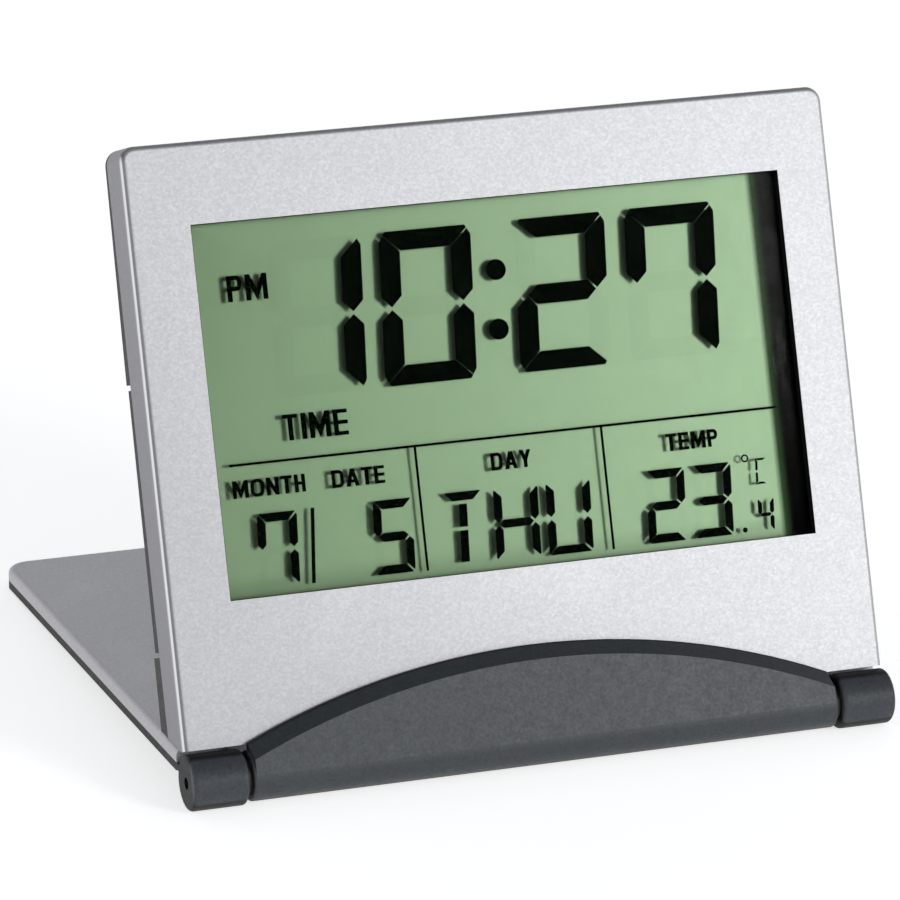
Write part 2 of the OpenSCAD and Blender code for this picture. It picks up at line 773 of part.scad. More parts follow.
face_plate();
front_case();
window_lens();
lcd_film();
lcd_front_glass();
lcd_rear_glass();
lcd_reflector();
lcd_holder();
connector_strips();
circuit_board();
chip_blob();
crystal_can();
temperature_sensor();
buzzer_disc();
contact_plus();
contact_minus();
coin_cell();
key_mat();
rear_case();
battery_door();
key_mode();
key_set();
key_up();
key_down();
case_screws();
board_screws();
hinge_arch();
hinge_pins();
hinge_washers();
cover_frame();
cover_shell();
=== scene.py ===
"""Looks of a folding travel alarm clock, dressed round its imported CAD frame.

The CAD nodes carry the shapes. This file gives each node its finish, models what the display shows
between its two glasses, and sets the studio. Lengths are metres, in the frame of the CAD.
"""

import json
import logging
import math
from collections.abc import Callable, Iterator, Sequence
from contextlib import contextmanager
from dataclasses import dataclass, field
from enum import Enum

import bpy
from mathutils import Matrix, Vector


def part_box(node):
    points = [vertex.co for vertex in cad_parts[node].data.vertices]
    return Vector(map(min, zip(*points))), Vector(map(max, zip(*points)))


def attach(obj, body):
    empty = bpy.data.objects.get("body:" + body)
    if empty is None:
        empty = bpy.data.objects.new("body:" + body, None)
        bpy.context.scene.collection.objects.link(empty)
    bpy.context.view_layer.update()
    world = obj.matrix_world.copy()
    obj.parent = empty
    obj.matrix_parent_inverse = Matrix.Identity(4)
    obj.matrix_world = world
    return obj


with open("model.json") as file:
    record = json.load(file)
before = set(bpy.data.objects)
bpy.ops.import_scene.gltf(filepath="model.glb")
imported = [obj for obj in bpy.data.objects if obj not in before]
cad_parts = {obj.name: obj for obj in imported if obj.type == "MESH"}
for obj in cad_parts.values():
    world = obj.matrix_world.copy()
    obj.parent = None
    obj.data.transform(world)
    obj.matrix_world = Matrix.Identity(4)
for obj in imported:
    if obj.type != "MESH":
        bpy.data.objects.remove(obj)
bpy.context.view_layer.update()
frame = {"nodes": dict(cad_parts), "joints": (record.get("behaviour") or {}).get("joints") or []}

MM = 0.001
LOG = logging.getLogger("alarm_clock")

ACROSS = Vector((1, 0, 0))
BACKWARDS = Vector((0, 1, 0))

Colour = tuple[float, float, float]
Point = tuple[float, float]
Dot = tuple[float, float, float]
Figure = tuple[str, float]
Word = tuple[str, float, float, float]


def srgb(red: int, green: int, blue: int) -> Colour:
    """Turns display values of 0 to 255 into a linear colour.

    Args:
        red: Red value.
        green: Green value.
        blue: Blue value.

    Returns:
        The linear colour.
    """
    def linear(value: int) -> float:
        """One channel made linear."""
        share = value / 255
        return share / 12.92 if share <= 0.04045 else ((share + 0.055) / 1.055) ** 2.4

    return linear(red), linear(green), linear(blue)


def grey(value: int) -> Colour:
    """A neutral linear colour from a display value."""
    return srgb(value, value, value)


def mm(*values: float) -> tuple[float, ...]:
    """Turns millimetres into metres."""
    return tuple(value * MM for value in values)


# Painted light and shade on the face plate: the highlight and shaded side of its left edge, its
# shaded lower left corner, and a dark reflection along its left edge.
EDGE_HIGHLIGHT = grey(224)
EDGE_SHADED = srgb(166, 164, 168)
CORNER_SHADE = grey(140)
EDGE_DARK_REFLECTION = grey(110)
DEEP_BLACK = srgb(8, 9, 10)
# Painted shadow of the window's right wall on the display's film: green at its soft edge, black at
# its core; the black also darkens the film's foot.
WALL_PENUMBRA_GREEN = srgb(30, 46, 24)
PAINTED_SHADOW_BLACK = srgb(4, 10, 4)
FLOOR_SEEN = (1.3, 1.3, 1.3)

# How far a darker place goes towards black.
SHADE_SHARE = 0.92

# How much handling marks shine on plastic, and how much they dull a clear sheet.
MARK_SHINE = 0.03
MARK_DULL = 0.1

# Grains to a flake of metal, and how far the contrast of flakes and of grain is stretched.
GRAIN_PER_FLAKE = 0.6
FLAKE_STRETCH = (0.0, 1.6)
GRAIN_STRETCH = (-0.6, 1.6)

# Depth of the relief of metal and of plastic.
METAL_RELIEF = 0.04 * MM
PLASTIC_RELIEF = 0.05 * MM

# Steps in a rounded corner of a letter.
CORNER_STEPS = 5

# Sockets of a colour Mix node, several of which share one name.
MIX_FIRST, MIX_SECOND, MIX_RESULT = 6, 7, 2


# ---- Where things are ---------------------------------------------------------------------------


class Body(Enum):
    """CAD bodies that new pieces ride on."""

    CLOCK = "clock_body"


@dataclass(frozen=True)
class CasePlace:
    """The case frame: X across, Y up the face from the hinge axis, Z out of the face.

    Args:
        axis: A point on the hinge axis, in the frame of the CAD.
        out: Unit vector out of the face.
    """

    axis: Vector
    out: Vector

    @classmethod
    def from_cad(cls) -> "CasePlace":
        """Reads the hinge pins and the travel of a key.

        Returns:
            The case frame as the CAD has it.
        """
        low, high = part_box("hinge_pins")
        press = next(j for j in frame["joints"] if j["name"] == "key_mode_press")
        axis = (low + high) / 2
        out = Vector(press["axis"]).normalized()
        if out.y > 0:
            out.negate()
        return cls(axis=axis, out=out)

    @property
    def up(self) -> Vector:
        """Unit vector up the face."""
        return self.out.cross(ACROSS).normalized()

    @property
    def matrix(self) -> Matrix:
        """Turns case coordinates into those of the CAD."""
        turn = Matrix((ACROSS, self.up, self.out)).transposed().to_4x4()
        return Matrix.Translation(self.axis) @ turn

    def along(self, way: Vector, reach: Point) -> Point:
        """Turns two distances from the hinge axis into places along a direction."""
        base = self.axis.dot(way)
        return base + reach[0], base + reach[1]

    def seat(self, piece: bpy.types.Object) -> None:
        """Moves a mesh drawn in case coordinates to its place; its object stays at the origin."""
        piece.data.transform(self.matrix)
        piece.data.update()


# ---- Bench: modelling by hand, through operators ------------------------------------------------


class Bench:
    """Modelling steps shared by the pieces, each done with Blender's own operators."""

    @staticmethod
    def clear() -> None:
        """Leaves edit mode and deselects everything."""
        if bpy.context.object and bpy.context.object.mode != "OBJECT":
            bpy.ops.object.mode_set(mode="OBJECT")
        bpy.ops.object.select_all(action="DESELECT")

    @staticmethod
    def pick(*pieces: bpy.types.Object) -> None:
        """Selects pieces only, the first one active.

        Args:
            *pieces: The pieces.
        """
        Bench.clear()
        for piece in pieces:
            piece.select_set(True)
        bpy.context.view_layer.objects.active = pieces[0]

    @staticmethod
    @contextmanager
    def editing(piece: bpy.types.Object) -> Iterator[None]:
        """Edit mode on one piece with all of it selected, for the steps of a with block.

        Args:
            piece: The piece.

        Returns:
            What the with statement opens and closes.
        """
        Bench.pick(piece)
        bpy.ops.object.mode_set(mode="EDIT")
        bpy.ops.mesh.select_all(action="SELECT")
        yield
        bpy.ops.object.mode_set(mode="OBJECT")

    @staticmethod
    def apply_place(piece: bpy.types.Object) -> None:
        """Bakes the place, turn and size of an object into its mesh."""
        Bench.pick(piece)
        bpy.ops.object.transform_apply(location=True, rotation=True, scale=True)

    @staticmethod
    def sheet(name: str, low: Point, high: Point, height: float) -> bpy.types.Object:
        """Adds a flat rectangle, its mesh in place.

        Args:
            name: Name of the piece.
            low: Lower left corner.
            high: Upper right corner.
            height: Height of the sheet.

        Returns:
            The new object.
        """
        Bench.clear()
        centre = ((low[0] + high[0]) / 2, (low[1] + high[1]) / 2, height)
        bpy.ops.mesh.primitive_plane_add(size=1, location=centre)
        piece = bpy.context.object
        piece.name = piece.data.name = name
        piece.scale = (high[0] - low[0], high[1] - low[1], 1)
        Bench.apply_place(piece)
        return piece

    @staticmethod
    def trim(piece: bpy.types.Object, cuts: Sequence[tuple[Point, Point]]) -> None:
        """Cuts a flat piece along lines, and drops what lies on the side each normal points to.

        Args:
            piece: The flat piece.
            cuts: A point on each line and the line's normal.
        """
        with Bench.editing(piece):
            for (x, y), (across, along) in cuts:
                bpy.ops.mesh.select_all(action="SELECT")
                bpy.ops.mesh.bisect(plane_co=(x, y, 0), plane_no=(across, along, 0),
                                    clear_outer=True, use_fill=False)

    @staticmethod
    def thicken(piece: bpy.types.Object, thickness: float) -> None:
        """Turns a flat piece into a closed body by extruding it downwards.

        Args:
            piece: The flat piece.
            thickness: Thickness of the body.
        """
        with Bench.editing(piece):
            bpy.ops.mesh.extrude_region_move(TRANSFORM_OT_translate={"value": (0, 0, -thickness)})
            bpy.ops.mesh.select_all(action="SELECT")
            bpy.ops.mesh.normals_make_consistent(inside=False)

    @staticmethod
    def slant(piece: bpy.types.Object, share: float) -> None:
        """Leans a flat piece to the right.

        Args:
            piece: The flat piece.
            share: How far it leans, as a share of the height over the X axis.
        """
        lean = Matrix.Identity(4)
        lean[0][1] = share
        piece.data.transform(lean)

    @staticmethod
    def hollow(piece: bpy.types.Object, wall: float) -> None:
        """Makes a frame of a flat piece of one face: insets the face and takes out its middle.

        Args:
            piece: The flat piece.
            wall: Width of the frame.
        """
        with Bench.editing(piece):
            bpy.ops.mesh.inset(thickness=wall)
            bpy.ops.mesh.delete(type="FACE")

    @staticmethod
    def round_corners(piece: bpy.types.Object, radius: float, from_x: float) -> None:
        """Rounds the corners of a flat piece that lie to the right of a place.

        Args:
            piece: The flat piece.
            radius: Radius of the corners.
            from_x: Where the corners that are rounded begin.
        """
        with Bench.editing(piece):
            bpy.ops.mesh.select_mode(type="VERT")
            bpy.ops.mesh.select_all(action="DESELECT")
        for corner in piece.data.vertices:
            corner.select = corner.co.x > from_x
        bpy.ops.object.mode_set(mode="EDIT")
        bpy.ops.mesh.bevel(offset=radius, segments=CORNER_STEPS, affect="VERTICES")
        bpy.ops.object.mode_set(mode="OBJECT")

    @staticmethod
    def copy(piece: bpy.types.Object, name: str, move: Point) -> bpy.types.Object:
        """Copies a piece with a mesh of its own.

        Args:
            piece: The piece to copy.
            name: Name of the copy.
            move: How far the copy lies from the piece.

        Returns:
            The copy.
        """
        twin = bpy.data.objects.new(name, piece.data.copy())
        bpy.context.scene.collection.objects.link(twin)
        twin.data.name = name
        twin.data.transform(Matrix.Translation((move[0], move[1], 0)))
        return twin

    @staticmethod
    def join(name: str, pieces: Sequence[bpy.types.Object]) -> bpy.types.Object:
        """Joins pieces into one.

        Args:
            name: Name of the joined piece.
            pieces: The pieces, at least one.

        Returns:
            The joined object.
        """
        Bench.pick(*pieces)
        if len(pieces) > 1:
            bpy.ops.object.join()
        piece = bpy.context.object
        piece.name = piece.data.name = name
        return piece


# ---- Effects: node groups shared by the finishes ------------------------------------------------


def fill(socket: bpy.types.NodeSocket, value: float | Colour) -> None:
    """Sets a socket to a number or to a colour."""
    socket.default_value = (*value, 1) if isinstance(value, tuple) else value


@dataclass
class Net:
    """A node tree, with short ways to place nodes and to wire them.

    Args:
        tree: The node tree.
    """

    tree: bpy.types.NodeTree

    def node(
        self, kind: str, values: dict[str | int, float | Colour] | None = None,
        **settings: str | bpy.types.NodeTree,
    ) -> bpy.types.Node:
        """Places a node.

        Args:
            kind: Kind of shader node.
            values: Values of its inputs, by name or by number.
            **settings: Its settings.

        Returns:
            The node.
        """
        node = self.tree.nodes.new("ShaderNode" + kind)
        for name, setting in settings.items():
            setattr(node, name, setting)
        for name, value in (values or {}).items():
            fill(node.inputs[name], value)
        return node

    def wire(self, *pairs: tuple[bpy.types.NodeSocket, bpy.types.NodeSocket]) -> None:
        """Links each first socket to its second."""
        for source, target in pairs:
            self.tree.links.new(source, target)


class Effect(Enum):
    """Names of the shared effects."""

    GRAIN = "fine_grain"
    FLAKE = "metal_flake"
    HANDLING = "handling_marks"
    BAND = "height_band"


@dataclass
class EffectKit:
    """Builds each shared effect once, and hands it out to the finishes.

    Args:
        made: The effects built so far.
        coarse_scale: Scale of the coarse grain, as a share of the fine grain's.
        mark_range: Noise between which handling marks go from none to full.
    """

    made: dict[Effect, bpy.types.NodeTree] = field(default_factory=dict)
    coarse_scale: float = 0.28
    mark_range: tuple[float, float] = (0.55, 0.8)

    def get(self, effect: Effect) -> bpy.types.NodeTree:
        """Hands out an effect, built on first use.

        Args:
            effect: Which effect.

        Returns:
            Its node group.
        """
        if effect not in self.made:
            builders: dict[Effect, Callable[[], bpy.types.NodeTree]] = {
                Effect.GRAIN: self._grain,
                Effect.FLAKE: self._flake,
                Effect.HANDLING: self._handling,
                Effect.BAND: self._band,
            }
            self.made[effect] = builders[effect]()
        return self.made[effect]

    @staticmethod
    def _start(
        effect: Effect, inputs: dict[str, float]
    ) -> tuple[Net, bpy.types.NodeSocket, dict[str, bpy.types.NodeSocket], bpy.types.NodeSocket]:
        """Makes a group with its sockets.

        Args:
            effect: Which effect.
            inputs: Names and first values of the inputs.

        Returns:
            The group, the place on the piece, the inputs by name, and the socket of the mask.
        """
        net = Net(bpy.data.node_groups.new(effect.value, "ShaderNodeTree"))
        sockets = net.tree.interface
        for name, value in inputs.items():
            socket = sockets.new_socket(name, in_out="INPUT", socket_type="NodeSocketFloat")
            socket.default_value = value
        sockets.new_socket("Mask", in_out="OUTPUT", socket_type="NodeSocketFloat")
        entry = net.tree.nodes.new("NodeGroupInput")
        given = {name: entry.outputs[name] for name in inputs}
        mask = net.tree.nodes.new("NodeGroupOutput").inputs["Mask"]
        return net, net.node("TexCoord").outputs["Object"], given, mask

    def _grain(self) -> bpy.types.NodeTree:
        """Fine moulded grain: two sizes of noise, as a mask of 0 to 1.

        Returns:
            The node group.
        """
        net, place, given, mask = self._start(Effect.GRAIN, {"Scale": 3000.0, "Coarse": 0.35})
        fine = net.node("TexNoise", {"Detail": 2})
        coarse = net.node("TexNoise", {"Detail": 3})
        larger = net.node("Math", {1: self.coarse_scale}, operation="MULTIPLY")
        mix = net.node("Mix")
        net.wire(
            (place, fine.inputs["Vector"]), (place, coarse.inputs["Vector"]),
            (given["Scale"], fine.inputs["Scale"]), (given["Scale"], larger.inputs[0]),
            (larger.outputs[0], coarse.inputs["Scale"]), (given["Coarse"], mix.inputs["Factor"]),
            (fine.outputs["Fac"], mix.inputs["A"]), (coarse.outputs["Fac"], mix.inputs["B"]),
            (mix.outputs["Result"], mask),
        )
        return net.tree

    def _flake(self) -> bpy.types.NodeTree:
        """Metal flake: small cells, each with a brightness of its own.

        Returns:
            The node group.
        """
        net, place, given, mask = self._start(Effect.FLAKE, {"Scale": 3500.0})
        cells = net.node("TexVoronoi", {"Smoothness": 0.5}, feature="SMOOTH_F1")
        tone = net.node("SeparateColor")
        net.wire(
            (place, cells.inputs["Vector"]), (given["Scale"], cells.inputs["Scale"]),
            (cells.outputs["Color"], tone.inputs["Color"]), (tone.outputs["Red"], mask),
        )
        return net.tree

    def _handling(self) -> bpy.types.NodeTree:
        """Faint smudges from handling, some 10 mm across, with soft edges.

        Returns:
            The node group.
        """
        net, place, given, mask = self._start(Effect.HANDLING, {"Scale": 70.0})
        cloud = net.node("TexNoise", {"Detail": 4, "Distortion": 0.6})
        low, high = self.mark_range
        soft = net.node("MapRange", {"From Min": low, "From Max": high},
                        interpolation_type="SMOOTHSTEP")
        net.wire(
            (place, cloud.inputs["Vector"]), (given["Scale"], cloud.inputs["Scale"]),
            (cloud.outputs["Fac"], soft.inputs["Value"]), (soft.outputs["Result"], mask),
        )
        return net.tree

    def _band(self) -> bpy.types.NodeTree:
        """A mask that rises from 0 to 1 between two distances along a direction.

        Returns:
            The node group.
        """
        net, place, given, mask = self._start(
            Effect.BAND, {"X": 0.0, "Y": 0.0, "Z": 1.0, "Low": 0.0, "High": 1.0}
        )
        way = net.node("CombineXYZ")
        reach = net.node("VectorMath", operation="DOT_PRODUCT")
        rise = net.node("MapRange")
        net.wire(
            *((given[axis], way.inputs[axis]) for axis in "XYZ"),
            (place, reach.inputs[0]), (way.outputs["Vector"], reach.inputs[1]),
            (reach.outputs["Value"], rise.inputs["Value"]),
            (given["Low"], rise.inputs["From Min"]), (given["High"], rise.inputs["From Max"]),
            (rise.outputs["Result"], mask),
        )
        return net.tree


EFFECTS = EffectKit()


class Painter(Net):
    """Wires one material."""

    def __init__(self, name: str) -> None:
        """Makes the material with its main shader.

        Args:
            name: Name of the material.
        """
        self.material = bpy.data.materials.new(name)
        self.material.use_nodes = True
        super().__init__(self.material.node_tree)
        self.shader = self.tree.nodes["Principled BSDF"]

    def set(self, **values: float | Colour) -> None:
        """Sets plain values on the main shader; an underscore in a name stands for a space."""
        for name, value in values.items():
            fill(self.shader.inputs[name.replace("_", " ")], value)

    def effect(self, effect: Effect, **values: float) -> bpy.types.NodeSocket:
        """Places a shared effect.

        Args:
            effect: Which effect.
            **values: Values of its inputs.

        Returns:
            Its mask.
        """
        node = self.node("Group", node_tree=EFFECTS.get(effect))
        for name, value in values.items():
            fill(node.inputs[name], value)
        return node.outputs["Mask"]

    def band(self, way: Vector, low: float, high: float) -> bpy.types.NodeSocket:
        """Places a band effect.

        Args:
            way: Direction along which the mask rises.
            low: Distance at which it is 0.
            high: Distance at which it is 1.

        Returns:
            The mask.
        """
        return self.effect(Effect.BAND, X=way.x, Y=way.y, Z=way.z, Low=low, High=high)

    def blend(
        self, mask: bpy.types.NodeSocket, low: Colour | bpy.types.NodeSocket, high: Colour
    ) -> bpy.types.NodeSocket:
        """Mixes two colours by a mask.

        Args:
            mask: The mask, 0 to 1.
            low: Colour, or a colour socket, where the mask is 0.
            high: Colour where the mask is 1.

        Returns:
            The mixed colour.
        """
        node = self.node("Mix", data_type="RGBA")
        self.wire((mask, node.inputs["Factor"]))
        if isinstance(low, tuple):
            fill(node.inputs[MIX_FIRST], low)
        else:
            self.wire((low, node.inputs[MIX_FIRST]))
        fill(node.inputs[MIX_SECOND], high)
        return node.outputs[MIX_RESULT]

    def span(self, mask: bpy.types.NodeSocket, low: float, high: float) -> bpy.types.NodeSocket:
        """Spreads a mask of 0 to 1 over a range of values.

        Args:
            mask: The mask.
            low: Value where it is 0.
            high: Value where it is 1.

        Returns:
            The values.
        """
        node = self.node("MapRange", {"To Min": low, "To Max": high})
        self.wire((mask, node.inputs["Value"]))
        return node.outputs["Result"]

    def math(
        self, kind: str, first: bpy.types.NodeSocket, second: bpy.types.NodeSocket
    ) -> bpy.types.NodeSocket:
        """Joins two values.

        Args:
            kind: Name of the operation.
            first: First value.
            second: Second value.

        Returns:
            The result.
        """
        node = self.node("Math", operation=kind)
        self.wire((first, node.inputs[0]), (second, node.inputs[1]))
        return node.outputs[0]

    def feed(self, name: str, value: bpy.types.NodeSocket) -> None:
        """Links a value to a socket of the main shader."""
        self.wire((value, self.shader.inputs[name]))

    def bump(self, height: bpy.types.NodeSocket, strength: float, depth: float) -> None:
        """Raises the surface by a height mask.

        Args:
            height: The mask.
            strength: Strength of the bump.
            depth: Depth of the relief, in metres.
        """
        node = self.node("Bump", {"Strength": strength, "Distance": depth})
        self.wire((height, node.inputs["Height"]))
        self.feed("Normal", node.outputs["Normal"])


# ---- Finishes -----------------------------------------------------------------------------------


@dataclass(frozen=True)
class FacePaintedLight:
    """Painted light and shade on the face plate: a shaded lower left corner, a dark reflection
    along the left edge, and a highlight on that edge over its shaded side.

    Args:
        case: The case frame.
        slope: Shares of the ways across and up that make the slope of the corner's painted shade.
        corner: Where that painted shade begins and is full along the slope, from the hinge axis.
        corner_share: How far the corner goes towards its painted shade.
        line: Where the painted dark reflection along the rounded left edge begins and is full
            across the face.
        line_share: How far the line goes towards its painted dark tone.
        edge: Where the painted shade of the left edge's side begins and is full across the face.
        front: Depth at which the edge's painted highlight has ended, and at which it is full.
    """

    case: CasePlace
    slope: Point = (0.75, 0.66)
    corner: Point = (14 * MM, -12 * MM)
    corner_share: float = 0.24
    line: Point = (-41.9 * MM, -42.18 * MM)
    line_share: float = 0.6
    edge: Point = (-42.4 * MM, -42.46 * MM)
    front: Point = (-0.42 * MM, -0.3 * MM)

    def add(self, paint: Painter, colour: bpy.types.NodeSocket) -> bpy.types.NodeSocket:
        """Paints the shade, the dark reflection and the highlight into a colour.

        Args:
            paint: The material being wired.
            colour: Colour of the metal.

        Returns:
            The colour with its painted shade and highlight.
        """
        # Painted shade: the lower left corner of the face turns darker.
        slope = ACROSS * self.slope[0] + self.case.up * self.slope[1]
        corner = paint.band(slope, *self.case.along(slope, self.corner))
        colour = paint.blend(paint.span(corner, 0.0, self.corner_share), colour, CORNER_SHADE)
        # Painted dark reflection along the rounded left edge.
        line = paint.band(ACROSS, *self.line)
        colour = paint.blend(paint.span(line, 0.0, self.line_share), colour, EDGE_DARK_REFLECTION)
        # Painted shade on the side of the left edge, and a painted highlight along its front.
        edge = paint.band(ACROSS, *self.edge)
        front = paint.band(self.case.out, *self.case.along(self.case.out, self.front))
        colour = paint.blend(edge, colour, EDGE_SHADED)
        return paint.blend(paint.math("MULTIPLY", edge, front), colour, EDGE_HIGHLIGHT)


@dataclass(frozen=True)
class SatinMetal:
    """Satin metal or metallic paint with a fine flake.

    Args:
        name: Name of the material.
        light: Colour of the bright flakes.
        dark: Colour of the dark flakes.
        metallic: How metallic it is.
        smooth: Roughness where it is cleanest.
        rough: Roughness where it is dullest.
        flake: Flakes per metre.
        relief: Strength of the relief.
        tone: The painted light and shade of the face plate, for its metal only.
    """

    name: str
    light: Colour
    dark: Colour
    metallic: float
    smooth: float
    rough: float
    flake: float
    relief: float
    tone: FacePaintedLight | None = None

    def make(self) -> bpy.types.Material:
        """Builds the material.

        Returns:
            The material.
        """
        paint = Painter(self.name)
        paint.set(Metallic=self.metallic)
        flake = paint.effect(Effect.FLAKE, Scale=self.flake)
        grain = paint.effect(Effect.GRAIN, Scale=self.flake * GRAIN_PER_FLAKE)
        marks = paint.effect(Effect.HANDLING)
        sparkle = paint.math("MULTIPLY", flake, grain)
        colour = paint.blend(paint.span(sparkle, *FLAKE_STRETCH), self.dark, self.light)
        # Painted shade and highlight of the face plate.
        if self.tone:
            colour = self.tone.add(paint, colour)
        paint.feed("Base Color", colour)
        paint.feed("Roughness", paint.span(marks, self.rough, self.smooth))
        paint.bump(grain, self.relief, METAL_RELIEF)
        return paint.material


@dataclass(frozen=True)
class Moulded:
    """Moulded plastic or rubber with a spark-eroded grain.

    Args:
        name: Name of the material.
        light: Colour of the raised grain.
        dark: Colour of the hollows.
        smooth: Roughness of the raised grain.
        rough: Roughness of the hollows.
        grain: Grains per metre.
        relief: Strength of the relief.
        coat: Weight of a clear gloss, for lacquer and epoxy.
        gloss: Level of the mirrored light.
        darker: Directions, with where each begins and ends, along which the plastic turns darker.
    """

    name: str
    light: Colour
    dark: Colour
    smooth: float = 0.4
    rough: float = 0.6
    grain: float = 2600.0
    relief: float = 0.35
    coat: float = 0.0
    gloss: float = 0.5
    darker: tuple[tuple[Vector, Point], ...] = ()

    def make(self) -> bpy.types.Material:
        """Builds the material.

        Returns:
            The material.
        """
        paint = Painter(self.name)
        paint.set(Coat_Weight=self.coat, Specular_IOR_Level=self.gloss)
        grain = paint.effect(Effect.GRAIN, Scale=self.grain)
        marks = paint.effect(Effect.HANDLING)
        raised = paint.span(grain, *GRAIN_STRETCH)
        colour = paint.blend(raised, self.dark, self.light)
        # Bands that turn the plastic darker: painted shade at the arch's rim and painted shadow on
        # the knuckles, and the dark inside of the cover.
        for way, reach in self.darker:
            shade = paint.span(paint.band(way, *reach), 0.0, SHADE_SHARE)
            colour = paint.blend(shade, colour, DEEP_BLACK)
        paint.feed("Base Color", colour)
        worn = paint.math("SUBTRACT", paint.span(raised, self.rough, self.smooth),
                          paint.span(marks, 0.0, MARK_SHINE))
        paint.feed("Roughness", worn)
        paint.bump(grain, self.relief, PLASTIC_RELIEF)
        return paint.material


@dataclass(frozen=True)
class ClearSheet:
    """A clear sheet: light passes straight through, and a little is mirrored off its gloss.

    Args:
        name: Name of the material.
        tint: Colour of what passes each face.
        gloss: Index of refraction that sets how much is mirrored.
        roughness: Roughness of the mirror.
    """

    name: str
    tint: Colour
    gloss: float
    roughness: float

    def make(self) -> bpy.types.Material:
        """Builds the material.

        Returns:
            The material.
        """
        paint = Painter(self.name)
        paint.set(Base_Color=(0.9, 0.9, 0.9), Metallic=1.0)
        marks = paint.effect(Effect.HANDLING, Scale=110.0)
        paint.feed("Roughness", paint.span(marks, self.roughness, self.roughness + MARK_DULL))
        clear = paint.node("BsdfTransparent", {"Color": self.tint})
        share = paint.node("Fresnel", {"IOR": self.gloss})
        mix = paint.node("MixShader")
        surface = paint.tree.nodes["Material Output"].inputs["Surface"]
        paint.wire(
            (share.outputs["Fac"], mix.inputs["Fac"]), (clear.outputs["BSDF"], mix.inputs[1]),
            (paint.shader.outputs["BSDF"], mix.inputs[2]), (mix.outputs["Shader"], surface),
        )
        return paint.material


@dataclass(frozen=True)
class Reflector:
    """The green film behind the display: a rough metallic layer under a dye, darker to the left
    and at its foot by painted shade, with a painted shadow of the window's right wall.

    Args:
        name: Name of the material.
        light: Colour of the film at its right, without the painted shade.
        dark: Colour of the film at its left, darkened by painted shade.
        roughness: Roughness of the metallic layer.
        metallic: How metallic it is.
        case: The case frame.
        left_shade: Where the painted shade is full and where it has ended, across the face.
        mottle: How much the tone is mottled.
        foot: Heights between which painted shade darkens the film towards its foot.
        foot_share: How far the painted shade at the foot goes towards black.
        scatter: How much the roughness varies.
        wall_shadow: Colours of the painted shadow of the window's right wall, its soft edge and
            its core, with where each begins and is full across the face.
    """

    name: str
    light: Colour
    dark: Colour
    roughness: float
    metallic: float
    case: CasePlace
    left_shade: Point = (-36 * MM, 22 * MM)
    mottle: float = 0.12
    foot: Point = (22.4 * MM, 19.2 * MM)
    foot_share: float = 0.35
    scatter: float = 0.03
    wall_shadow: tuple[tuple[Colour, Point], ...] = (
        (WALL_PENUMBRA_GREEN, (33.2 * MM, 33.9 * MM)), (PAINTED_SHADOW_BLACK, (34.0 * MM, 34.9 * MM)),
    )

    def make(self) -> bpy.types.Material:
        """Builds the material.

        Returns:
            The material.
        """
        paint = Painter(self.name)
        paint.set(Metallic=self.metallic)
        grain = paint.effect(Effect.GRAIN, Scale=1500.0, Coarse=0.5)
        # Painted shade, darker to the left, mixed with a random mottle.
        shade_and_mottle = paint.math("ADD", paint.band(ACROSS, *self.left_shade),
                             paint.span(grain, -self.mottle, self.mottle))
        colour = paint.blend(shade_and_mottle, self.dark, self.light)
        # Painted shade towards the foot of the film, under the window's lower edge.
        foot = paint.band(self.case.up, *self.case.along(self.case.up, self.foot))
        colour = paint.blend(paint.span(foot, 0.0, self.foot_share), colour, PAINTED_SHADOW_BLACK)
        # Painted shadow of the window's right wall, with its soft edge.
        for tone, reach in self.wall_shadow:
            colour = paint.blend(paint.band(ACROSS, *reach), colour, tone)
        paint.feed("Base Color", colour)
        paint.feed("Roughness", paint.span(grain, self.roughness - self.scatter,
                                           self.roughness + self.scatter))
        return paint.material


@dataclass(frozen=True)
class Ink:
    """Liquid crystal that is switched on, or the faint trace of one that is off.

    Args:
        name: Name of the material.
        solid: How solid it is, from 0 to 1.
    """

    name: str
    solid: float

    def make(self) -> bpy.types.Material:
        """Builds the material.

        Returns:
            The material.
        """
        paint = Painter(self.name)
        paint.set(Base_Color=(0.002, 0.004, 0.002), Specular_IOR_Level=0.0, Roughness=0.6)
        grain = paint.effect(Effect.GRAIN, Scale=5000.0)
        paint.feed("Alpha", paint.span(grain, self.solid, min(1.0, self.solid * 1.02)))
        return paint.material


# ---- Display ------------------------------------------------------------------------------------


class Bar(Enum):
    """The seven bars of a digit, and the split middle bars of a letter."""

    TOP = "a"
    HIGH_RIGHT = "b"
    LOW_RIGHT = "c"
    BOTTOM = "d"
    LOW_LEFT = "e"
    HIGH_LEFT = "f"
    MIDDLE = "g"
    HIGH_STEM = "i"
    LOW_STEM = "l"


# Share of each axis in the normal of a cut at 45 degrees, and the slope of a clipped corner.
DIAGONAL = 0.7071
CLIP_SLOPE = 1.6

# Share of the gap that is left before the tip of a bar, and of a bar's width under a stem.
TIP_GAP = 0.75
STEM_FOOT = 0.4

# Bars of a digit, and those that each figure and letter lights.
DIGIT_BARS = "abcdefg"
SHOWN = {
    "0": "abcdef", "1": "bc", "2": "abdeg", "3": "abcdg", "4": "bcfg", "5": "acdfg", "7": "abcf",
    "T": "ail", "H": "bcefg", "U": "bcdef", "C": "adef",
}

# Widths of the capitals against that of an E; an I is as wide as its stem.
WIDE_LETTERS = {
    "I": 0.0, "M": 1.45, "O": 1.25, "N": 1.14, "A": 1.3, "D": 1.15, "T": 1.05, "Y": 1.2,
}

# Distance of a slanting stroke's middle line from the side of its letter, in stems.
SLASH_FROM = {"N": 0.5, "M": 0.6, "A": 0.55, "Y": 0.55}


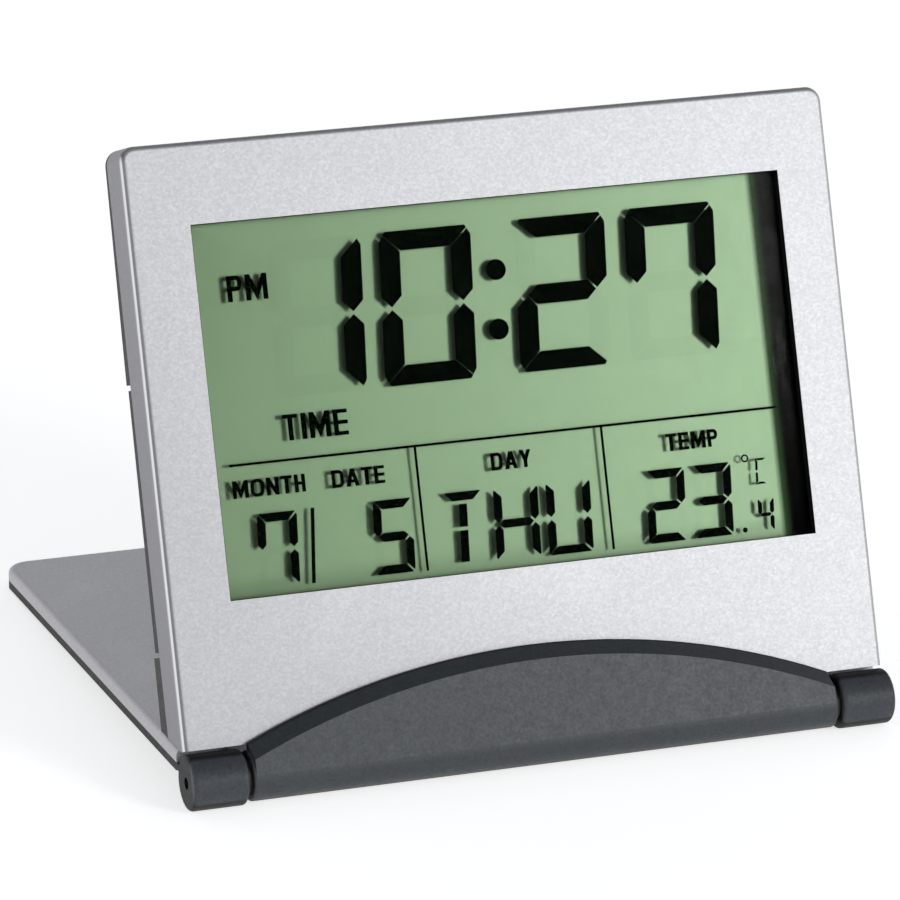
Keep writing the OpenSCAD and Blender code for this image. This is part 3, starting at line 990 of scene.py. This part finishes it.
@dataclass
class DigitShape:
    """One size of seven-bar digit, its bars modelled once and copied.

    Args:
        name: Name of the shape.
        width: Width of the digit.
        height: Height of the digit.
        upright: Width of the upright bars.
        level: Width of the level bars.
        gap: Gap between bars.
        clip: How much the outer corners are clipped.
        lean: Share of the height that the top leans to the right.
        bars: The bars modelled so far.
    """

    name: str
    width: float
    height: float
    upright: float
    level: float
    gap: float
    clip: float
    lean: float = 0.062
    bars: dict[Bar, bpy.types.Object] = field(default_factory=dict)

    def _mitre(self, right: bool, top: bool, keep_level: bool) -> tuple[Point, Point]:
        """The slanting cut at a corner.

        Args:
            right: At the right corner.
            top: At the top corner.
            keep_level: Whether the level bar stays, and not the upright one.

        Returns:
            A point of the cut and its normal.
        """
        side = 1 if right else -1
        inner = Vector(((self.width - self.upright) if right else self.upright,
                        (self.height - self.level) if top else self.level))
        outer = Vector((self.width if right else 0, self.height if top else 0))
        along = (outer - inner).normalized()
        normal = Vector((-along.y, along.x))
        towards_upright = normal if normal.x * side > 0 else -normal
        shown = towards_upright if keep_level else -towards_upright
        point = inner - shown * self.gap / 2
        return (point.x, point.y), (shown.x, shown.y)

    def _tip(self, right: bool, top: bool) -> list[tuple[Point, Point]]:
        """The two cuts that point the inner end of an upright bar.

        Args:
            right: Whether it is a right bar.
            top: Whether it is an upper bar.

        Returns:
            A point of each cut and its normal.
        """
        x = self.width - self.upright / 2 if right else self.upright / 2
        rise = 1 if top else -1
        y = self.height / 2 + rise * self.gap * TIP_GAP
        return [((x, y), (side * DIAGONAL, -rise * DIAGONAL)) for side in (1, -1)]

    def _corner(self, right: bool, top: bool) -> tuple[Point, Point]:
        """The cut that clips an outer corner.

        Args:
            right: At the right corner.
            top: At the top corner.

        Returns:
            A point of the cut and its normal.
        """
        side, rise = (1 if right else -1), (1 if top else -1)
        x = self.width if right else 0
        y = self.height if top else 0
        normal = Vector((CLIP_SLOPE * side, rise)).normalized()
        return (x - side * self.clip, y), (normal.x, normal.y)

    def _cut_bar(self, bar: Bar) -> bpy.types.Object:
        """Models one bar: a sheet of its size, trimmed at its ends.

        Args:
            bar: Which bar.

        Returns:
            The flat bar.
        """
        w, h, s, t = self.width, self.height, self.upright, self.level
        name = f"{self.name}_{bar.value}"
        if bar in (Bar.TOP, Bar.BOTTOM):
            top = bar is Bar.TOP
            low, high = ((0, h - t), (w, h)) if top else ((0, 0), (w, t))
            cuts = [self._mitre(r, top, True) for r in (False, True)]
            cuts += [self._corner(r, top) for r in (False, True)]
        elif bar is Bar.MIDDLE:
            low, high = (0, h / 2 - t / 2), (w, h / 2 + t / 2)
            cuts = []
            for x, side in ((s / 2, -1), (w - s / 2, 1)):
                start = x - side * self.gap * TIP_GAP
                cuts += [((start, h / 2), (side * DIAGONAL, rise * DIAGONAL)) for rise in (1, -1)]
        elif bar in (Bar.HIGH_STEM, Bar.LOW_STEM):
            top = bar is Bar.HIGH_STEM
            left, right = w / 2 - s / 2, w / 2 + s / 2
            foot, head = (h / 2 + self.gap, h - t - self.gap * 2) if top else (
                t * STEM_FOOT, h / 2 - self.gap)
            low, high, cuts = (left, foot), (right, head), []
        else:
            top = bar in (Bar.HIGH_LEFT, Bar.HIGH_RIGHT)
            right = bar in (Bar.HIGH_RIGHT, Bar.LOW_RIGHT)
            x = w - s if right else 0
            low, high = ((x, h / 2), (x + s, h)) if top else ((x, 0), (x + s, h / 2))
            cuts = [self._mitre(right, top, False), self._corner(right, top)]
            cuts += self._tip(right, top)
        piece = Bench.sheet(name, low, high, 0)
        Bench.trim(piece, cuts)
        Bench.slant(piece, self.lean)
        return piece

    def bar(self, bar: Bar) -> bpy.types.Object:
        """Hands out the pattern of a bar, modelled on first use.

        Args:
            bar: Which bar.

        Returns:
            The flat bar.
        """
        if bar not in self.bars:
            self.bars[bar] = self._cut_bar(bar)
        return self.bars[bar]

    def show(self, bars: str, corner: Point) -> list[bpy.types.Object]:
        """Copies bars to the place of one digit.

        Args:
            bars: Letters of the bars.
            corner: Lower left corner of the digit.

        Returns:
            The copies.
        """
        return [Bench.copy(self.bar(Bar(letter)), f"{self.name}_copy", corner) for letter in bars]

    def put_away(self) -> None:
        """Deletes the patterns once all copies are made."""
        for pattern in self.bars.values():
            bpy.data.objects.remove(pattern)
        self.bars.clear()


@dataclass
class Capitals:
    """Bold narrow capitals, each built up from flat strokes.

    Args:
        height: Height of the letters.
        stem: Width of the upright and slanting strokes.
        level: Width of the level strokes.
        space: Space between letters, as a share of their height.
        curve: Radius of a round, as a share of its smaller side.
        waist: Height at which a bowl ends or a fork begins, as a share of the letter's height.
        valley: Height at which the slanting strokes of an M meet, likewise.
        crossbar: Left side, right side and height of the bar of an A, as shares of its sides.
    """

    height: float
    stem: float
    level: float
    space: float = 0.13
    curve: float = 0.42
    waist: tuple[float, float] = (0.4, 0.42)
    valley: float = 0.2
    crossbar: tuple[float, ...] = (0.34, 0.66, 0.2)

    def _bar(self, low: Point, high: Point) -> bpy.types.Object:
        """A straight stroke between two corners."""
        return Bench.sheet("stroke", low, high, 0)

    def _slash(self, low: Point, high: Point, start: Point, end: Point) -> bpy.types.Object:
        """A slanting stroke: a sheet trimmed on both sides of the stroke's middle line.

        Args:
            low: Lower left corner of the sheet.
            high: Upper right corner of the sheet.
            start: One point of the middle line.
            end: Another point of the middle line.

        Returns:
            The stroke.
        """
        piece = Bench.sheet("stroke", low, high, 0)
        along = (Vector(end) - Vector(start)).normalized()
        side = Vector((-along.y, along.x))
        cuts = []
        for way in (side, -side):
            edge = Vector(start) + way * self.stem / 2
            cuts.append(((edge.x, edge.y), (way.x, way.y)))
        Bench.trim(piece, cuts)
        return piece

    def _bowl(self, low: Point, high: Point, round_left: bool) -> bpy.types.Object:
        """A closed round: a sheet with rounded corners, its middle taken out.

        Args:
            low: Lower left corner.
            high: Upper right corner.
            round_left: Whether the left corners are rounded too.

        Returns:
            The bowl.
        """
        piece = Bench.sheet("stroke", low, high, 0)
        radius = self.curve * min(high[0] - low[0], high[1] - low[1])
        Bench.round_corners(piece, radius, -1.0 if round_left else (low[0] + high[0]) / 2)
        Bench.hollow(piece, (self.stem + self.level) / 2)
        return piece

    def _strokes(self, letter: str, w: float) -> list[bpy.types.Object]:
        """The strokes of one letter, its lower left corner at zero.

        Args:
            letter: The letter.
            w: Width of the letter.

        Returns:
            The flat strokes.
        """
        h, s, t = self.height, self.stem, self.level
        half, lean, bar = (h - t) / 2, s * SLASH_FROM.get(letter, 0), self._bar
        match letter:
            case "I":
                return [bar((0, 0), (s, h))]
            case "T":
                return [bar((0, h - t), (w, h)), bar(((w - s) / 2, 0), ((w + s) / 2, h - t))]
            case "E":
                return [bar((0, 0), (s, h))] + [bar((s, y), (w, y + t)) for y in (0, half, h - t)]
            case "H":
                return [bar((0, 0), (s, h)), bar((w - s, 0), (w, h)),
                        bar((s, half), (w - s, half + t))]
            case "P":
                foot = h * self.waist[0]
                return [bar((0, 0), (s, foot)), self._bowl((0, foot), (w, h), False)]
            case "D" | "O":
                return [self._bowl((0, 0), (w, h), letter == "O")]
            case "N":
                return [bar((0, 0), (s, h)), bar((w - s, 0), (w, h)),
                        self._slash((s, 0), (w - s, h), (lean, h), (w - lean, 0))]
            case "M":
                meet = (w / 2, h * self.valley)
                return [bar((0, 0), (s, h)), bar((w - s, 0), (w, h)),
                        self._slash((s, 0), (w / 2, h), (lean, h), meet),
                        self._slash((w / 2, 0), (w - s, h), (w - lean, h), meet)]
            case "A":
                left, right, foot = self.crossbar
                return [self._slash((0, 0), (w / 2, h), (lean, 0), (w / 2, h)),
                        self._slash((w / 2, 0), (w, h), (w - lean, 0), (w / 2, h)),
                        bar((w * left, h * foot), (w * right, h * foot + t))]
            case "Y":
                fork = h * self.waist[1]
                return [self._slash((0, fork), (w / 2, h), (lean, h), (w / 2, fork)),
                        self._slash((w / 2, fork), (w, h), (w - lean, h), (w / 2, fork)),
                        bar(((w - s) / 2, 0), ((w + s) / 2, fork))]
        raise ValueError(f"no strokes for the letter {letter}")

    def word(self, text: str, foot: Point, right: float) -> bpy.types.Object:
        """Sets a word between two places.

        Args:
            text: The word.
            foot: Lower left corner of the word.
            right: Where the word ends.

        Returns:
            The flat word.
        """
        wide = [WIDE_LETTERS.get(letter, 1.0) for letter in text]
        narrow = text.count("I") * self.stem
        space = self.space * self.height
        unit = (right - foot[0] - narrow - space * (len(text) - 1)) / sum(wide)
        strokes, x = [], foot[0]
        for letter, share in zip(text, wide):
            width = share * unit or self.stem
            for stroke in self._strokes(letter, width):
                stroke.data.transform(Matrix.Translation((x, foot[1], 0)))
                strokes.append(stroke)
            x += width + space
        return Bench.join(text, strokes)


@dataclass
class Display:
    """What the display shows, between its two glasses. Places on it are in millimetres.

    Args:
        case: The case frame.
        depth: Depth of the liquid crystal behind the face, in metres.
        thickness: Thickness of the layer, in metres.
        hour_size: Sizes of the large figures, in the order that DigitShape has them.
        date_size: Sizes of the figures of the month, the date and the temperature, likewise.
        day_size: Sizes of the weekday's letters after the first, likewise.
        tenth_size: Sizes of the tenth of a degree, likewise.
        degree_size: Sizes of the letter of the temperature scale, likewise.
        large_size: Sizes of the larger words, in the order that Capitals has them.
        small_size: Sizes of the smaller words, likewise.
        hour_foot: Height of the foot of the large figures.
        hours: The large figures, and the left side of each.
        colon: Centre and radius of each dot of the colon.
        row_foot: Height of the foot of the small figures.
        dates: The small figures, and the left side of each.
        letters: The letters of the weekday after the first.
        tenth: The tenth of a degree, and its left side.
        degree: The letter of the temperature scale, and its lower left corner.
        ring: Centre, outer and inner radius of the degree sign.
        point: Centre and radius of the decimal point.
        rules: Lower left and upper right corners of the rules.
        mark: Half width and height of the slanting mark after the month, and where it stands.
        mark_lean: Share of its height that the mark leans to the right.
        large_words: The larger words, each with its left side, its foot and its right side.
        small_words: The smaller words, likewise.
    """

    case: CasePlace
    depth: float = 2.13 * MM
    thickness: float = 0.04 * MM
    hour_size: tuple[float, ...] = (11.1, 17.5, 2.45, 2.25, 0.2, 0.7)
    date_size: tuple[float, ...] = (4.75, 8.4, 0.98, 1.0, 0.2, 0.3)
    day_size: tuple[float, ...] = (5.45, 8.4, 1.0, 0.95, 0.22, 0.3)
    tenth_size: tuple[float, ...] = (2.0, 3.75, 0.5, 0.45, 0.12, 0.12)
    degree_size: tuple[float, ...] = (1.3, 3.0, 0.28, 0.26, 0.1, 0.06)
    large_size: tuple[float, ...] = (2.95, 0.58, 0.45)
    small_size: tuple[float, ...] = (2.02, 0.45, 0.36)
    hour_foot: float = 41.62
    hours: tuple[Figure, ...] = (("1", -26.9), ("0", -13.6), ("2", 2.85), ("7", 16.45))
    colon: tuple[Dot, ...] = ((1.15, 53.65, 1.2), (0.74, 46.86, 1.2))
    row_foot: float = 20.5
    dates: tuple[Figure, ...] = (("7", -30.95), ("5", -17.1), ("2", 16.32), ("3", 22.14),
                                 ("T", -8.62))
    letters: tuple[Figure, ...] = (("H", -2.45), ("U", 3.98))
    tenth: tuple[Figure, ...] = (("4", 30.05),)
    degree: tuple[str, Point] = ("C", (30.3, 25.95))
    ring: tuple[float, ...] = (29.2, 29.1, 0.46, 0.28)
    point: Dot = (28.34, 20.85, 0.3)
    rules: tuple[tuple[float, ...], ...] = (
        (-33.1, 34.48, 33.8, 34.76), (-11.05, 20.4, -10.75, 34.48), (11.73, 20.4, 12.03, 34.48),
    )
    mark: tuple[float, ...] = (0.22, 8.45, -24.6, 20.5)
    mark_lean: float = 0.09
    large_words: tuple[Word, ...] = (("PM", -31.15, 52.9, -26.35),
                                     ("TIME", -26.3, 36.75, -18.55))
    small_words: tuple[Word, ...] = (
        ("MONTH", -33.0, 30.86, -24.35), ("DATE", -21.2, 30.86, -14.85),
        ("DAY", -1.95, 30.86, 2.98), ("TEMP", 19.65, 30.86, 26.1),
    )

    def _finish(
        self, name: str, parts: list[bpy.types.Object], material: bpy.types.Material
    ) -> None:
        """Joins flat parts, gives them their thickness, their place and their finish.

        Args:
            name: Name of the piece.
            parts: The flat parts, in the plane of the display.
            material: The finish.
        """
        piece = Bench.join(name, parts)
        Bench.thicken(piece, self.thickness)
        piece.data.transform(Matrix.Translation((0, 0, -self.depth)))
        self.case.seat(piece)
        piece.data.materials.clear()
        piece.data.materials.append(material)
        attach(piece, Body.CLOCK.value)
        LOG.info("display piece %s: %d faces", name, len(piece.data.polygons))

    @staticmethod
    def _disc(x: float, y: float, radius: float, sides: int = 40) -> bpy.types.Object:
        """Adds a flat disc, its mesh in place.

        Args:
            x: Place of its centre across the face, in millimetres.
            y: Place of its centre up the face, in millimetres.
            radius: Radius, in millimetres.
            sides: Number of its sides.

        Returns:
            The disc.
        """
        Bench.clear()
        bpy.ops.mesh.primitive_circle_add(vertices=sides, radius=radius * MM, fill_type="NGON",
                                          location=(x * MM, y * MM, 0))
        piece = bpy.context.object
        Bench.apply_place(piece)
        return piece

    @staticmethod
    def _figures(
        shape: DigitShape, figures: Sequence[Figure], foot: float
    ) -> tuple[list[bpy.types.Object], list[bpy.types.Object]]:
        """Sets figures of one shape side by side.

        Args:
            shape: The shape of the figures.
            figures: The figures, and the left side of each.
            foot: Height of their foot.

        Returns:
            The bars that are lit, and those of the digits that aren't.
        """
        lit, unlit = [], []
        for figure, x in figures:
            corner = (x * MM, foot * MM)
            lit += shape.show(SHOWN[figure], corner)
            if figure.isdigit():
                rest = "".join(bar for bar in DIGIT_BARS if bar not in SHOWN[figure])
                unlit += shape.show(rest, corner)
        shape.put_away()
        return lit, unlit

    def _time(self, lit: bpy.types.Material, faint: bpy.types.Material) -> None:
        """The four large digits, the colon and the faint traces of unlit bars.

        Args:
            lit: Finish of what is switched on.
            faint: Finish of what is switched off.
        """
        shape = DigitShape("hour", *mm(*self.hour_size))
        shown, traces = self._figures(shape, self.hours, self.hour_foot)
        shown += [self._disc(*dot) for dot in self.colon]
        self._finish("lcd_time", shown, lit)
        self._finish("lcd_time_unlit", traces, faint)

    def _rows(self, lit: bpy.types.Material, faint: bpy.types.Material) -> None:
        """The small figures of the lower row: month, date, weekday and temperature.

        Args:
            lit: Finish of what is switched on.
            faint: Finish of what is switched off.
        """
        sizes = (
            (DigitShape("date", *mm(*self.date_size), lean=0.055), self.dates),
            (DigitShape("day", *mm(*self.day_size), lean=0.045), self.letters),
            (DigitShape("tenth", *mm(*self.tenth_size)), self.tenth),
        )
        shown, traces = [], []
        for shape, figures in sizes:
            lit_bars, unlit_bars = self._figures(shape, figures, self.row_foot)
            shown += lit_bars
            traces += unlit_bars
        letter, (x, y) = self.degree
        scale = DigitShape("degree", *mm(*self.degree_size))
        shown += self._figures(scale, ((letter, x),), y)[0]
        x, y, outer, inner = self.ring
        ring = self._disc(x, y, outer, 32)
        Bench.hollow(ring, (outer - inner) * MM)
        shown += [ring, self._disc(*self.point)]
        self._finish("lcd_date_row", shown, lit)
        self._finish("lcd_date_row_unlit", traces, faint)

    def _rules(self, lit: bpy.types.Material) -> None:
        """The thin rules that divide the display, and the slanting mark after the month.

        Args:
            lit: Finish of what is switched on.
        """
        half, height, x, foot = mm(*self.mark)
        mark = Bench.sheet("rule", (-half, 0), (half, height), 0)
        Bench.slant(mark, self.mark_lean)
        mark.data.transform(Matrix.Translation((x, foot, 0)))
        lines = [mm(*corners) for corners in self.rules]
        rules = [Bench.sheet("rule", line[:2], line[2:], 0) for line in lines]
        self._finish("lcd_rules", [*rules, mark], lit)

    def _words(self, lit: bpy.types.Material) -> None:
        """The printed words over the figures.

        Args:
            lit: Finish of what is switched on.
        """
        large, small = Capitals(*mm(*self.large_size)), Capitals(*mm(*self.small_size))
        words = []
        for capitals, places in ((large, self.large_words), (small, self.small_words)):
            for text, left, foot, right in places:
                words.append(capitals.word(text, (left * MM, foot * MM), right * MM))
        self._finish("lcd_words", words, lit)

    def build(self) -> None:
        """Builds everything the display shows."""
        lit = Ink("segment_on", 1.0).make()
        faint = Ink("segment_off", 0.012).make()
        self._time(lit, faint)
        self._rows(lit, faint)
        self._rules(lit)
        self._words(lit)


# ---- Finishes on the CAD nodes ------------------------------------------------------------------


@dataclass
class Dresser:
    """Gives CAD nodes their finish.

    Args:
        case: The case frame.
    """

    case: CasePlace

    @staticmethod
    def dress(finish: SatinMetal | Moulded | ClearSheet | Reflector, *nodes: str) -> None:
        """Puts a finish on CAD nodes, and leaves their meshes alone.

        Args:
            finish: The finish.
            *nodes: Names of the nodes.
        """
        material = finish.make()
        for name in nodes:
            for slot in frame["nodes"][name].material_slots:
                slot.material = material
        LOG.info("%s on %s", material.name, ", ".join(nodes))


@dataclass
class ClockCase(Dresser):
    """The display case: face plate, silver front, dark back, keys and door."""

    def build(self) -> None:
        """Dresses the case."""
        self.dress(SatinMetal("face_metal", srgb(194, 194, 196), srgb(175, 175, 177), 0.75, 0.45,
                              0.47, 4300.0, 0.12, FacePaintedLight(self.case)), "face_plate")
        self.dress(SatinMetal("silver_paint", srgb(158, 156, 160), srgb(146, 144, 148), 0.6, 0.38,
                              0.45, 5000.0, 0.08), "front_case")
        self.dress(Moulded("dark_plastic", grey(50), grey(38), gloss=0.35), "rear_case",
                   "battery_door")
        self.dress(Moulded("key_plastic", grey(172), grey(160), 0.32, 0.45, 3400.0, 0.15),
                   "key_mode", "key_set", "key_up", "key_down")


@dataclass
class DisplayModule(Dresser):
    """The lens, films and glasses of the display, their frame, and a black sheet of painted shade
    in the window's wall.

    Args:
        low: Lower left corner of the window, across and up the face.
        high: Upper right corner of the window.
        wall: Thickness of the sheet.
        top: Depth of the sheet's front edge behind the face.
        depth: Depth of the sheet.
    """

    low: Point = (-35.29 * MM, 19.61 * MM)
    high: Point = (36.19 * MM, 61.89 * MM)
    wall: float = 0.05 * MM
    top: float = 0.04 * MM
    depth: float = 0.98 * MM

    def _window_shade(self) -> None:
        """A thin black sheet in the window's wall, inside the edge of the face plate: painted
        shade where the wall faces away from the key light.
        """
        shade_sheet = Bench.sheet("window_shade_sheet", self.low, self.high, -self.top)
        Bench.hollow(shade_sheet, self.wall)
        Bench.thicken(shade_sheet, self.depth)
        self.case.seat(shade_sheet)
        # Painted shade: the black sheet darkens the window's wall.
        black = Moulded("shade_black", grey(10), grey(6), 0.6, 0.75, 4200.0, 0.1, gloss=0.1)
        shade_sheet.data.materials.append(black.make())
        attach(shade_sheet, Body.CLOCK.value)
        LOG.info("window liner: %d faces", len(shade_sheet.data.polygons))

    def build(self) -> None:
        """Dresses the module and puts the sheet of painted shade in its window's wall."""
        self._window_shade()
        self.dress(ClearSheet("clear_lens", (0.99, 0.99, 0.99), 1.05, 0.03), "window_lens")
        self.dress(ClearSheet("polariser", (0.95, 0.965, 0.95), 1.01, 0.2), "lcd_film")
        self.dress(ClearSheet("display_glass", (0.985, 0.99, 0.985), 1.01, 0.1),
                   "lcd_front_glass", "lcd_rear_glass")
        self.dress(Reflector("reflector_green", srgb(124, 142, 117), srgb(113, 131, 105), 0.4, 0.9,
                             self.case), "lcd_reflector")
        self.dress(Moulded("holder_plastic", grey(40), grey(32)), "lcd_holder")
        self.dress(Moulded("strip_rubber", srgb(190, 150, 160), srgb(170, 130, 140)),
                   "connector_strips")


@dataclass
class Electronics(Dresser):
    """The board, its chip, crystal, sensor, buzzer, contacts, cell, key mat and all screws."""

    def build(self) -> None:
        """Dresses the electronics and the small steel pieces."""
        self.dress(Moulded("board_green", srgb(40, 92, 52), srgb(28, 74, 40), 0.25, 0.4, 900.0,
                           0.1, 0.3), "circuit_board")
        self.dress(Moulded("black_epoxy", grey(30), grey(18), 0.2, 0.35, 500.0, 0.1, 0.4),
                   "chip_blob")
        self.dress(SatinMetal("bright_steel", grey(205), grey(190), 1.0, 0.22, 0.32, 9000.0, 0.05),
                   "crystal_can", "contact_plus", "contact_minus", "hinge_pins")
        self.dress(Moulded("sensor_bead", srgb(120, 62, 36), srgb(96, 46, 26), 0.2, 0.3, 1500.0,
                           0.05, 0.5), "temperature_sensor")
        self.dress(SatinMetal("buzzer_brass", srgb(214, 178, 104), srgb(190, 152, 84), 1.0, 0.25,
                              0.4, 6000.0, 0.05), "buzzer_disc")
        self.dress(SatinMetal("cell_steel", grey(200), grey(182), 1.0, 0.2, 0.34, 7000.0, 0.06),
                   "coin_cell")
        self.dress(Moulded("mat_rubber", grey(92), grey(80), 0.6, 0.75), "key_mat")
        self.dress(SatinMetal("screw_steel", grey(150), grey(128), 1.0, 0.3, 0.45, 8000.0, 0.08),
                   "case_screws", "board_screws")


@dataclass
class HingeAndCover(Dresser):
    """The hinge with its arch, and the flip cover that the clock stands on.

    Args:
        knuckle_shadow: Heights off the face between which painted shadow darkens the knuckles
            towards the foot of the case.
        step: Heights off the face between which painted shade darkens the arch towards the step of
            its rim.
        lining: Distances behind the hinge between which the cover's inside turns dark.
    """

    knuckle_shadow: Point = (2.15 * MM, 1.75 * MM)
    step: Point = (1.05 * MM, 0.8 * MM)
    lining: Point = (4.5 * MM, 6 * MM)

    def build(self) -> None:
        """Dresses the hinge and the cover."""
        knuckle_shadow, step, lining = (
            (way, self.case.along(way, reach))
            for way, reach in ((self.case.out, self.knuckle_shadow), (self.case.out, self.step),
                               (BACKWARDS, self.lining))
        )
        # Painted shade darkens the arch at the step of its rim.
        self.dress(Moulded("hinge_grey", srgb(61, 66, 70), srgb(46, 50, 54), 0.38, 0.52, 2800.0,
                           0.3, darker=(step,)), "hinge_arch")
        # Painted shadow darkens the knuckles under the foot of the case.
        self.dress(Moulded("cover_grey", srgb(73, 77, 81), srgb(56, 59, 63), 0.38, 0.52, 2800.0,
                           0.3, gloss=0.25, darker=(knuckle_shadow, lining)), "cover_frame")
        self.dress(Moulded("washer_black", grey(34), grey(26), 0.4, 0.6), "hinge_washers")
        self.dress(SatinMetal("cover_paint", srgb(207, 205, 209), srgb(191, 189, 193), 0.6, 0.4,
                              0.44, 5000.0, 0.08), "cover_shell")


# ---- Studio -------------------------------------------------------------------------------------


@dataclass
class Studio:
    """Floor, soft lights and camera.

    Args:
        camera_at: Place of the camera.
        forward: Direction in which the camera looks.
        right: Direction to the right of its picture.
        lens: Focal length, in millimetres.
        sensor: Width of the sensor, in millimetres.
        aim: Where the lights point.
        distance: Distance of the lights.
        wall_top: Height in degrees up to which the surroundings are white.
        ceiling_from: Height in degrees from which they are dark.
        wall_tone: Colour of the white.
        ceiling_tone: Colour of the dark.
    """

    camera_at: tuple[float, ...] = mm(-237.43, -614.63, 274.53)
    forward: tuple[float, ...] = (0.3382093, 0.8723770, -0.3529488)
    right: tuple[float, ...] = (0.9355548, -0.3522322, 0.0258794)
    lens: float = 240.0
    sensor: float = 36.0
    aim: tuple[float, ...] = (0, 0, 0.035)
    distance: float = 1.4
    wall_top: float = 22.0
    ceiling_from: float = 48.0
    wall_tone: Colour = (0.8, 0.82, 0.85)
    ceiling_tone: Colour = (0.1, 0.103, 0.108)

    def _floor(self) -> None:
        """A plain pale floor, slightly uneven in tone."""
        Bench.clear()
        bpy.ops.mesh.primitive_plane_add(size=8, location=(0, 0, 0))
        floor = bpy.context.object
        floor.name = "floor"
        paint = Painter("pale_floor")
        paint.set(Roughness=0.7, Specular_IOR_Level=0.2)
        cloud = paint.effect(Effect.HANDLING, Scale=3.0)
        paint.feed("Base Color", paint.blend(cloud, grey(246), grey(243)))
        ray = paint.node("LightPath").outputs["Is Camera Ray"]
        paint.feed("Emission Color", paint.blend(ray, grey(250), FLOOR_SEEN))
        paint.set(Emission_Strength=0.5)
        floor.data.materials.append(paint.material)

    def _soft_box(self, name: str, towards: Vector, size: Point, power: float) -> None:
        """Adds a soft area light aimed at the clock.

        Args:
            name: Name of the light.
            towards: Direction from the clock to the light.
            size: Width and height of the light.
            power: Power in watts.
        """
        Bench.clear()
        aim = Vector(self.aim)
        place = aim + towards.normalized() * self.distance
        bpy.ops.object.light_add(type="AREA", location=place)
        lamp = bpy.context.object
        lamp.name = name
        lamp.data.shape = "RECTANGLE"
        lamp.data.size, lamp.data.size_y = size
        lamp.data.energy = power
        lamp.rotation_euler = (aim - place).to_track_quat("-Z", "Y").to_euler()

    def _air(self, tree: bpy.types.NodeTree) -> None:
        """Light from all round: white walls up to a height, and a darker ceiling.

        Args:
            tree: Nodes of the world.
        """
        net = Net(tree)
        low, high = (math.sin(math.radians(angle)) for angle in (self.wall_top, self.ceiling_from))
        place = net.node("TexCoord")
        split = net.node("SeparateXYZ")
        height = net.node("MapRange", {"From Min": low, "From Max": high},
                          interpolation_type="SMOOTHSTEP")
        tone = net.node("Mix", {MIX_FIRST: self.wall_tone, MIX_SECOND: self.ceiling_tone},
                        data_type="RGBA")
        net.wire(
            (place.outputs["Generated"], split.inputs["Vector"]),
            (split.outputs["Z"], height.inputs["Value"]),
            (height.outputs["Result"], tone.inputs["Factor"]),
            (tone.outputs[MIX_RESULT], tree.nodes["Background"].inputs["Color"]),
        )

    def _camera(self) -> None:
        """The camera, turned by its forward and right vectors."""
        Bench.clear()
        bpy.ops.object.camera_add()
        camera = bpy.context.object
        back = -Vector(self.forward).normalized()
        right = Vector(self.right).normalized()
        turn = Matrix((right, back.cross(right), back)).transposed().to_4x4()
        camera.matrix_world = Matrix.Translation(self.camera_at) @ turn
        camera.data.lens = self.lens
        camera.data.sensor_width = self.sensor
        camera.data.clip_start, camera.data.clip_end = 0.01, 50
        bpy.context.scene.camera = camera

    def build(self) -> None:
        """Builds the studio."""
        scene = bpy.context.scene
        scene.view_settings.view_transform = "Standard"
        world = bpy.data.worlds.new("studio_air")
        scene.world = world
        world.use_nodes = True
        self._air(world.node_tree)
        self._floor()
        self._soft_box("key_light", Vector((0.5, -0.8, 0.32)), (0.3, 0.3), 5.2)
        self._soft_box("left_light", Vector((-0.94, -0.32, 0.12)), (0.7, 0.5), 1.7)
        self._camera()
        scene.cycles.transparent_max_bounces = 32
        LOG.info("studio ready")


def main() -> None:
    """Dresses the clock, builds what its display shows, then the studio."""
    logging.basicConfig(level=logging.INFO, format="%(name)s: %(message)s")
    case = CasePlace.from_cad()
    for part in (ClockCase(case), DisplayModule(case), Electronics(case), HingeAndCover(case)):
        part.build()
    Display(case).build()
    Studio().build()


if __name__ == "__main__":
    main()
